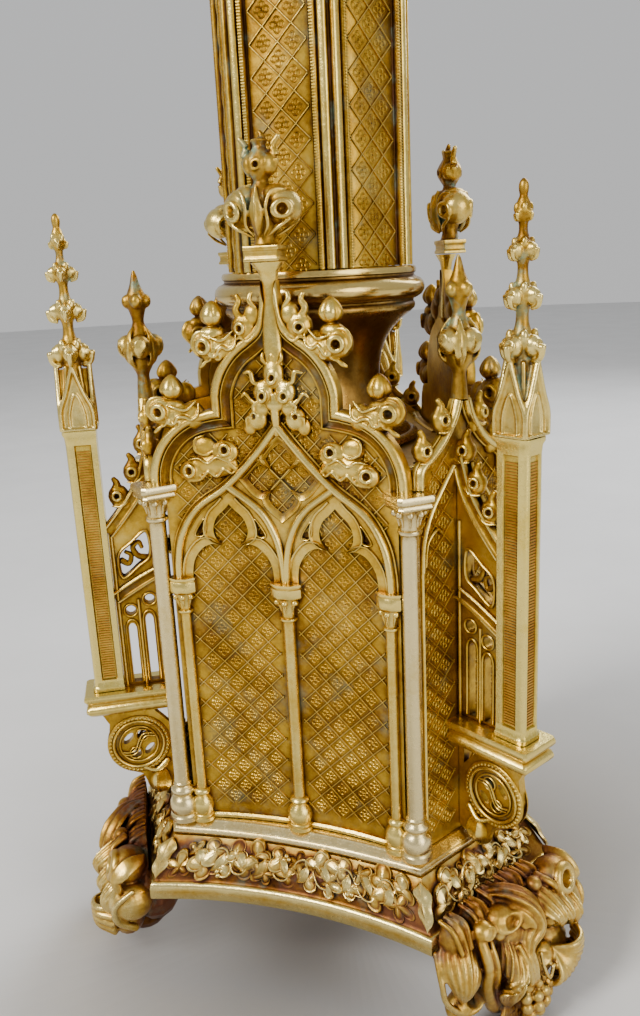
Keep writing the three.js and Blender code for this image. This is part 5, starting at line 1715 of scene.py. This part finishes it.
def arm():
    """A scrolled arm: tapered stem, leaves that curl from it, a turned seat and a moulded foot."""
    root = 21.1
    route = spline([(root + 1.5, 0, 623), (34, 0, 618.4), (45, 0, 611.6), (60, 0, 605.8), (76, 0, 605),
        (92, 0, 608.8), (104, 0, 616.6), (112.6, 0, 627), (117, 0, 638), (118, 0, 646)], 46)
    t = np.linspace(0, 1, 46)
    parts = [rod(route, 4.1 - 0.9 * np.sin(math.pi * t), 16, (0, 1, 0.01))]
    for k in (0.3, 0.62):
        i = int(k * 45)
        spot, ahead = route[i], unit(route[i + 1] - route[i - 1])
        parts.append(torus(spot, 3.4, 1.3, ahead, 24, 8))
        parts.append(torus(spot + ahead * 2.6, 3.2, 0.8, ahead, 24, 8))
        for side in (-1, 1):
            p = spot + ahead * 2
            q = [p, p + ahead * 8 + [0, side * 4, 3], p + ahead * 15 + [0, side * 7, 5.4],
                p + ahead * 19 + [0, side * 9.5, 2.2]]
            parts.append(leaf(q, 8, 2, 1.5, 0.3, 20, 9, 0.3, 0.7, up=(0, 0, 1)))
    scroll = [(60, 0, 610), (50, 0, 621), (55, 0, 629), (63, 0, 626), (61.6, 0, 619.6), (57.4, 0, 621)]
    parts.append(rod(spline(scroll, 30), np.linspace(2.6, 1.2, 30), 12, (0, 1, 0.01)))
    parts.append(ball((58, 0, 621.4), (2.4, 2.6, 2.4)))
    drop = [(78, 0, 603), (84, 0, 596), (92, 0, 597), (92.6, 0, 603.6), (87.6, 0, 603.4)]
    parts.append(rod(spline(drop, 24), np.linspace(2.2, 1.1, 24), 12, (0, 1, 0.01)))
    parts.append(ball((88, 0, 602.8), (2.0, 2.2, 2.0)))
    for side in (-1, 1):
        path = [(30, side * 2, 616), (38, side * 5, 618), (46, side * 8, 622), (50, side * 10, 619)]
        parts.append(leaf(path, 7, 2, 1.5, 0.3, 18, 9, 0.3, 0.7))
    seat = [(3.2, 643), (3.4, 645), (4.8, 646), (4.8, 646.8), (4.0, 647.6), (6.2, 648.8), (8, 650),
        (8.2, 651), (8, ARM_TOP)]
    parts.append(lathe(seat, 32, 118, 0))
    flange = plate([(-7, 617.5), (7, 617.5), (8, 623), (7, 629), (0, 632), (-7, 629), (-8, 623),
        (-4, 615)], [], 0, 2.6)
    stood = np.stack([root + flange[0][:, 2], flange[0][:, 0], flange[0][:, 1]], -1)
    parts.append(outward(stood, flange[1], flange[2]))
    melted = casting(parts, 0.55, 1)
    verts = melted[0]
    verts[:, 2] = np.minimum(verts[:, 2], ARM_TOP)
    verts[:, 0] = np.maximum(verts[:, 0], root)
    return Shell().add((verts, melted[1], melted[2]), 0.68)


def drip_pan(seat, x):
    low = seat + 0.3
    section = [
        (6.8, low), (10, low), (12, low + 0.2), (14.6, low + 0.8), (18.6, low + 1.8), (22, low + 3.2),
        (23.8, low + 5), (24.6, low + 7), (25.4, low + 8), (26, low + 8.8), (25.8, low + 9.5),
        (25, low + 9.7), (24.2, low + 9.2), (23.4, low + 7.8), (22.4, low + 5.8), (20.6, low + 4.4),
        (17.4, low + 3.4), (13.6, low + 2.8), (10, low + 2.5), (7.2, low + 2.5), (6.8, low + 2.2),
    ]
    ring = loop_lathe(section, 72)
    # tones by row: painted shade under the pan, lightest on the rim, between them inside the pan
    tones = np.repeat([0.3] * 8 + [0.9] * 5 + [0.55] * 8, 72)
    shell = Shell().add((ring[0] + [x, 0, 0], ring[1], ring[2]), tones)
    for k in range(36):
        c, s = math.cos(k * TAU / 36), math.sin(k * TAU / 36)
        shell.add(ball((x + c * 25.3, s * 25.3, low + 9.0), 1.0, 8, 5), 0.9)
    return shell


def pricket(seat, x):
    low = seat + 0.3
    section = [
        (6.4, low), (6.4, low + 4.6), (6.0, low + 5.4), (5.0, low + 6), (4.2, low + 6.6),
        (3.9, low + 7.6), (4.2, low + 8.4), (3.6, low + 9.2), (2.5, low + 10), (2.3, low + 14),
        (1.9, low + 24), (1.2, low + 36), (0.5, low + 45), (0.12, low + 47.6),
    ]
    return Shell().add(lathe(section, 28, x, 0), 0.75)


def tie_rod():
    low, high = bottom_of("tie_rod"), top_of("tie_rod")
    z = np.arange(low + 0.8, low + 22, 0.25)
    thread = [(4.7 + 0.28 * math.sin(k * math.pi / 2), height) for k, height in enumerate(z)]
    return Shell().add(lathe([(4.2, low)] + thread + [(4.9, low + 23), (4.9, high - 1), (4.4, high)], 32),
        0.6)


def tie_rod_nut():
    low, top = bottom_of("tie_rod_nut"), top_of("tie_rod_nut")
    count = 48
    turn = np.arange(count) / count * TAU
    flat = 10 * math.cos(math.pi / 6) / np.cos((turn + math.pi / 6) % (math.pi / 3) - math.pi / 6)
    section = [(0.93, low), (1.0, low + 1), (1.0, top - 1), (0.93, top)]
    rings = []
    for k, z in section:
        r = np.minimum(flat, 9.75 * (1.02 if k == 1.0 else 0.95))
        rings.append(np.column_stack([r * np.cos(turn), r * np.sin(turn), np.full(count, z)]))
    for r, z in ((5.9, top), (5.3, top - 0.6), (5.3, low + 0.6), (5.9, low)):
        rings.append(np.column_stack([r * np.cos(turn), r * np.sin(turn), np.full(count, z)]))
    return Shell().add(looped_skin(rings), 0.6)


# ---------------------------------------------------------------- materials


class Graph:
    """A short way to wire a material's nodes."""

    def __init__(self, name):
        self.material = bpy.data.materials.new(name)
        self.material.use_nodes = True
        self.tree = self.material.node_tree
        self.surface = self.tree.nodes["Principled BSDF"]

    def node(self, kind, **inputs):
        made = self.tree.nodes.new(kind)
        for key, value in inputs.items():
            if hasattr(made, key) and not key[0].isupper():
                setattr(made, key, value)
        return made

    def wire(self, value, socket):
        if isinstance(value, bpy.types.NodeSocket):
            self.tree.links.new(value, socket)
        else:
            socket.default_value = value

    def math(self, operation, a, b=0.0, clamp=False):
        made = self.tree.nodes.new("ShaderNodeMath")
        made.operation, made.use_clamp = operation, clamp
        self.wire(a, made.inputs[0])
        self.wire(b, made.inputs[1])
        return made.outputs[0]

    def noise(self, scale, detail=4.0, roughness=0.6, stretch=None):
        place = self.tree.nodes.new("ShaderNodeNewGeometry").outputs["Position"]
        if stretch:
            mapping = self.tree.nodes.new("ShaderNodeMapping")
            self.tree.links.new(place, mapping.inputs["Vector"])
            mapping.inputs["Scale"].default_value = stretch
            place = mapping.outputs[0]
        made = self.tree.nodes.new("ShaderNodeTexNoise")
        self.tree.links.new(place, made.inputs["Vector"])
        made.inputs["Scale"].default_value = scale
        made.inputs["Detail"].default_value = detail
        made.inputs["Roughness"].default_value = roughness
        return made.outputs[0]

    def span(self, value, low, high, to_low=0.0, to_high=1.0):
        made = self.tree.nodes.new("ShaderNodeMapRange")
        self.wire(value, made.inputs["Value"])
        for key, number in (("From Min", low), ("From Max", high), ("To Min", to_low), ("To Max", to_high)):
            made.inputs[key].default_value = number
        return made.outputs[0]

    def ramp(self, value, stops):
        made = self.tree.nodes.new("ShaderNodeValToRGB")
        self.wire(value, made.inputs[0])
        line = made.color_ramp
        while len(line.elements) < len(stops):
            line.elements.new(0.5)
        for element, (place, colour) in zip(line.elements, stops):
            element.position, element.color = place, (*colour, 1)
        return made.outputs[0]

    def mix(self, share, a, b):
        made = self.tree.nodes.new("ShaderNodeMix")
        made.data_type = "RGBA"
        self.wire(share, made.inputs[0])
        self.wire(a if isinstance(a, bpy.types.NodeSocket) else (*a, 1), made.inputs[6])
        self.wire(b if isinstance(b, bpy.types.NodeSocket) else (*b, 1), made.inputs[7])
        return made.outputs[2]

    def bump(self, height, distance):
        made = self.tree.nodes.new("ShaderNodeBump")
        made.inputs["Strength"].default_value = 0.5
        made.inputs["Distance"].default_value = distance
        self.tree.links.new(height, made.inputs["Height"])
        self.tree.links.new(made.outputs["Normal"], self.surface.inputs["Normal"])


def gilding(name, recess, deep, gold, pale, rough=(0.52, 0.24), green=0.0, red=0.0, grain=1.0, wear=0.0):
    """Worn gilding: bright where rubbed, with a painted highlight on sharp edges and painted shade in the
    recesses, and with verdigris and red tarnish.
    """
    g = Graph(name)
    tone = g.tree.nodes.new("ShaderNodeAttribute")
    tone.attribute_name = "tone"
    # painted shade: an occlusion node darkens the colour in recesses and in narrow gaps between parts
    cavity = g.tree.nodes.new("ShaderNodeAmbientOcclusion")
    cavity.samples, cavity.only_local = 4, True
    cavity.inputs["Distance"].default_value = 3.2 * MM
    hollow = g.span(cavity.outputs["AO"], 0.25, 0.95, -0.6, 0.1)
    # pointiness lightens sharp edges: partly rubbed wear, partly painted highlight
    edge = g.span(g.tree.nodes.new("ShaderNodeNewGeometry").outputs["Pointiness"], 0.44, 0.56, -0.14, 0.14)
    clouds = g.noise(34, 5, 0.6)
    specks = g.noise(420, 5, 0.7)
    grit = g.noise(1500, 3, 0.6)
    # the tone, the painted recess shade, the edge highlight and random patches add up to one value that
    # picks the colour from the ramp
    wear_and_painted_light = g.math("ADD", tone.outputs["Fac"], hollow)
    wear_and_painted_light = g.math("ADD", wear_and_painted_light, edge)
    wear_and_painted_light = g.math("ADD", wear_and_painted_light, g.span(clouds, 0.3, 0.7, -0.24, 0.2))
    wear_and_painted_light = g.math("ADD", wear_and_painted_light, g.span(specks, 0.3, 0.7, -0.1, 0.1))
    wear_and_painted_light = g.math("ADD", wear_and_painted_light, wear, clamp=True)
    colour = g.ramp(wear_and_painted_light, [(0.0, recess), (0.3, deep), (0.62, gold), (1.0, pale)])
    low = g.span(wear_and_painted_light, 0.2, 0.65, 1.0, 0.0)
    metal = 1.0
    if red:
        mask = g.math("MULTIPLY", g.span(g.noise(46, 6, 0.65), 0.46, 0.6), low, clamp=True)
        mask = g.math("MULTIPLY", mask, red, clamp=True)
        colour = g.mix(mask, colour, (0.12, 0.032, 0.012))
        metal = g.math("SUBTRACT", 1.0, g.math("MULTIPLY", mask, 0.55))
    if green:
        patch = g.math("MULTIPLY", g.span(g.noise(58, 7, 0.7), 0.53, 0.64),
            g.span(wear_and_painted_light, 0.35, 0.8, 1.0, 0.1))
        patch = g.math("MULTIPLY", patch, green, clamp=True)
        tint = g.ramp(g.noise(260, 4), [(0.3, (0.05, 0.17, 0.11)), (0.7, (0.2, 0.46, 0.36))])
        colour = g.mix(patch, colour, tint)
        metal = g.math("SUBTRACT", metal, g.math("MULTIPLY", patch, 0.9), clamp=True)
    g.wire(colour, g.surface.inputs["Base Color"])
    g.wire(metal, g.surface.inputs["Metallic"])
    shine = g.math("ADD", g.span(wear_and_painted_light, 0.1, 0.95, *rough), g.span(specks, 0.3, 0.7, -0.06, 0.06),
        clamp=True)
    g.wire(shine, g.surface.inputs["Roughness"])
    relief = g.math("ADD", g.math("MULTIPLY", grit, 0.35), specks)
    relief = g.math("ADD", relief, g.math("MULTIPLY", g.noise(130, 3), 1.6))
    g.bump(relief, 0.22 * grain * MM)
    return g.material


def steel():
    """Rusted iron of the rod and its nut."""
    g = Graph("forged_iron")
    rust = g.span(g.noise(160, 7, 0.7), 0.4, 0.62)
    g.wire(g.mix(rust, (0.36, 0.35, 0.33), (0.2, 0.075, 0.03)), g.surface.inputs["Base Color"])
    g.wire(g.span(rust, 0, 1, 1.0, 0.25), g.surface.inputs["Metallic"])
    g.wire(g.span(rust, 0, 1, 0.34, 0.82), g.surface.inputs["Roughness"])
    g.bump(g.noise(900, 5), 0.15 * MM)
    return g.material


# Ramp stops for the gilding: RECESS, and BROWN for leaves and the knop, are the darkest, where painted
# shade in recesses is deepest; PALE and CHAMPAGNE are the lightest, on rubbed edges with painted
# highlights.
RECESS = (0.045, 0.018, 0.003)
DEEP = (0.25, 0.115, 0.008)
GOLD = (0.60, 0.37, 0.035)
PALE = (0.78, 0.60, 0.17)
CHAMPAGNE = (0.74, 0.60, 0.29)
BROWN = (0.05, 0.022, 0.005)

wall_gilt = gilding("wall_gilt", RECESS, DEEP, GOLD, PALE, green=0.2, red=0.3, wear=-0.03)
pale_gilt = gilding("rubbed_gilt", RECESS, (0.30, 0.18, 0.035), (0.58, 0.42, 0.13), CHAMPAGNE,
    (0.45, 0.25), 0.15, 0.2)
pier_gilt = gilding("pier_gilt", RECESS, (0.32, 0.16, 0.01), (0.62, 0.42, 0.045), (0.76, 0.60, 0.17),
    (0.45, 0.25), 0.2, 0.3)
leaf_gilt = gilding("leaf_gilt", BROWN, DEEP, (0.56, 0.35, 0.045), (0.76, 0.60, 0.20), green=0.7, red=0.3)
base_gilt = gilding("tarnished_gilt", (0.035, 0.011, 0.005), (0.25, 0.095, 0.014), (0.57, 0.35, 0.055),
    (0.80, 0.64, 0.24), green=0.2, red=0.7)
brown_gilt = gilding("brown_gilt", BROWN, (0.17, 0.085, 0.016), (0.36, 0.21, 0.045), (0.66, 0.48, 0.15),
    (0.4, 0.2),
    green=0.15, red=0.2, grain=0.35)
copper_gilt = gilding("copper_gilt", (0.07, 0.02, 0.005), (0.30, 0.105, 0.014), (0.58, 0.27, 0.035),
    (0.7, 0.44, 0.1), red=0.5)
forged_iron = steel()


# ---------------------------------------------------------------- assembly


def place_round(stem, shell, turns, slot, materials, sharp=38):
    mesh = finish_mesh(shell, stem + "_mesh", materials, sharp)
    for side, turn in turns.items():
        piece(f"{stem}_{side}_cast", f"{stem}_{side}", None, slot, None, turn, mesh)


SIDES = {"right": -30, "left": -150, "back": 90}
place_round("main_panel", main_panel(), WIDE_TURNS, "gilt", [wall_gilt])
place_round("main_finial", main_finial(), WIDE_TURNS, "pale_gilt", [leaf_gilt])
place_round("corner_panel", corner_panel(), SIDES, "gilt", [wall_gilt])
place_round("corner_finial", corner_finial(), SIDES, "gilt", [leaf_gilt])
place_round("foot", foot(), SIDES, "tarnished_gilt", [base_gilt], 60)
place_round("buttress_wing", wing(), SIDES, "gilt", [wall_gilt])
place_round("pier", pier(), SIDES, "pale_gilt", [pier_gilt, copper_gilt])
place_round("pinnacle", pinnacle(), SIDES, "pale_gilt", [leaf_gilt])

end = math.radians(30) + math.asin((NARROW - ARC_CENTRE / 2) / ARC_RADIUS)
column_turn = math.asin(ARC_RADIUS * math.sin(end) / COLUMN_R)
column_mesh = finish_mesh(column(0), "corner_column_mesh", [pale_gilt], 38)
for face in range(3):
    for k, side in enumerate((-1, 1)):
        number = 2 * face + k + 1
        turn = -90 + 120 * face + side * math.degrees(column_turn)
        piece(f"corner_column_{number}_cast", f"corner_column_{number}", None, "pale_gilt", None, turn,
            column_mesh)

single = {
    "base_plate": (base_plate, "tarnished_gilt", [base_gilt]),
    "sill_moulding": (sill_moulding, "pale_gilt", [pale_gilt]),
    "roof_plate": (roof_plate, "gilt", [wall_gilt]),
    "lower_neck": (lower_neck, "brown_gilt", [brown_gilt]),
    "stem_casing": (stem_casing, "gilt", [wall_gilt]),
    "knop": (knop, "brown_gilt", [brown_gilt]),
    "arm_crown": (arm_crown, "gilt", [wall_gilt]),
    "top_spindle": (top_spindle, "gilt", [wall_gilt]),
    "tie_rod": (tie_rod, "iron", [forged_iron]),
    "tie_rod_nut": (tie_rod_nut, "iron", [forged_iron]),
}
for name, (make, slot, materials) in single.items():
    piece(name + "_cast", name, make(), slot, materials)

ARM_REACH = 118  # from the axis to a pan's middle
arm_turns = {str(i + 1): -90 + 60 * i for i in range(6)}
place_round("arm", arm(), arm_turns, "gilt", [wall_gilt], 60)
place_round("drip_pan", drip_pan(ARM_TOP, ARM_REACH), arm_turns, "pale_gilt", [pale_gilt])
place_round("pricket", pricket(ARM_TOP, ARM_REACH), arm_turns, "gilt", [wall_gilt])
piece("drip_pan_center_cast", "drip_pan_center", drip_pan(SPINDLE_TOP, 0), "pale_gilt", [pale_gilt])
piece("pricket_center_cast", "pricket_center", pricket(SPINDLE_TOP, 0), "gilt", [wall_gilt])


# ---------------------------------------------------------------- stage, light and camera


def floor():
    shell = Shell()
    rings = [(0.1, 0), (600, 0), (2000, 0), (6000, 0), (6000, -4), (0.1, -4)]
    shell.add(loop_lathe(rings, 96), 0.5)
    mesh = mesh_of(shell, "floor_mesh")
    g = Graph("pale_floor")
    shade = g.ramp(g.noise(6, 4), [(0.3, (0.70, 0.69, 0.675)), (0.7, (0.76, 0.75, 0.735))])
    g.wire(shade, g.surface.inputs["Base Color"])
    g.surface.inputs["Roughness"].default_value = 0.75
    mesh.materials.append(g.material)
    made = bpy.data.objects.new("floor", mesh)
    bpy.context.scene.collection.objects.link(made)


def light(name, spot, target, size, power, colour):
    lamp = bpy.data.lights.new(name, "AREA")
    lamp.shape, lamp.size, lamp.energy, lamp.color = "DISK", size, power, colour
    made = bpy.data.objects.new(name, lamp)
    made.location = spot
    made.rotation_euler = (Vector(target) - Vector(spot)).to_track_quat("-Z", "Y").to_euler()
    bpy.context.scene.collection.objects.link(made)


floor()
light("key", (-0.9, -1.5, 1.5), (0, 0, 0.3), 0.8, 46, (1.0, 0.97, 0.92))
light("fill", (1.5, -0.9, 0.7), (0, 0, 0.3), 1.2, 16, (1.0, 0.96, 0.9))
light("back", (0.6, 1.6, 1.3), (0, 0, 0.35), 1.2, 26, (0.93, 0.96, 1.0))

world = bpy.data.worlds.new("studio")
world.use_nodes = True
bpy.context.scene.world = world
sky = world.node_tree
direction = sky.nodes.new("ShaderNodeTexCoord")
height = sky.nodes.new("ShaderNodeSeparateXYZ")
sky.links.new(direction.outputs["Generated"], height.inputs[0])
shade = sky.nodes.new("ShaderNodeValToRGB")
sky.links.new(height.outputs[2], shade.inputs[0])
shade.color_ramp.elements[0].position, shade.color_ramp.elements[0].color = 0.0, (0.86, 0.86, 0.86, 1)
shade.color_ramp.elements[1].position, shade.color_ramp.elements[1].color = 0.9, (0.90, 0.92, 0.95, 1)
sky.links.new(shade.outputs[0], sky.nodes["Background"].inputs[0])
sky.nodes["Background"].inputs[1].default_value = 0.7

VIEW_FROM = Vector((140.7, -408.1, 339.4)) * MM
AZIMUTH, YAW, PITCH, ROLL = (math.radians(a) for a in (19.02, -0.63, 15.2, -2.78))
LENS = 31.8

ahead = Vector((-math.sin(AZIMUTH), math.cos(AZIMUTH), 0))
right = Vector((math.cos(AZIMUTH), math.sin(AZIMUTH), 0))
level = ahead * math.cos(YAW) + right * math.sin(YAW)
right = right * math.cos(YAW) - ahead * math.sin(YAW)
forward = level * math.cos(PITCH) - Vector((0, 0, 1)) * math.sin(PITCH)
above = right.cross(forward)
side_axis = right * math.cos(ROLL) + above * math.sin(ROLL)
up_axis = above * math.cos(ROLL) - right * math.sin(ROLL)

lens = bpy.data.cameras.new("camera")
lens.lens, lens.sensor_width, lens.sensor_fit = LENS, 36, "AUTO"
lens.clip_start, lens.clip_end = 0.02, 30
camera = bpy.data.objects.new("camera", lens)
turn = camera.matrix_world.to_3x3()
for i in range(3):
    turn[i][0], turn[i][1], turn[i][2] = side_axis[i], up_axis[i], -forward[i]
camera.matrix_world = turn.to_4x4()
camera.location = VIEW_FROM
bpy.context.scene.collection.objects.link(camera)
bpy.context.scene.camera = camera
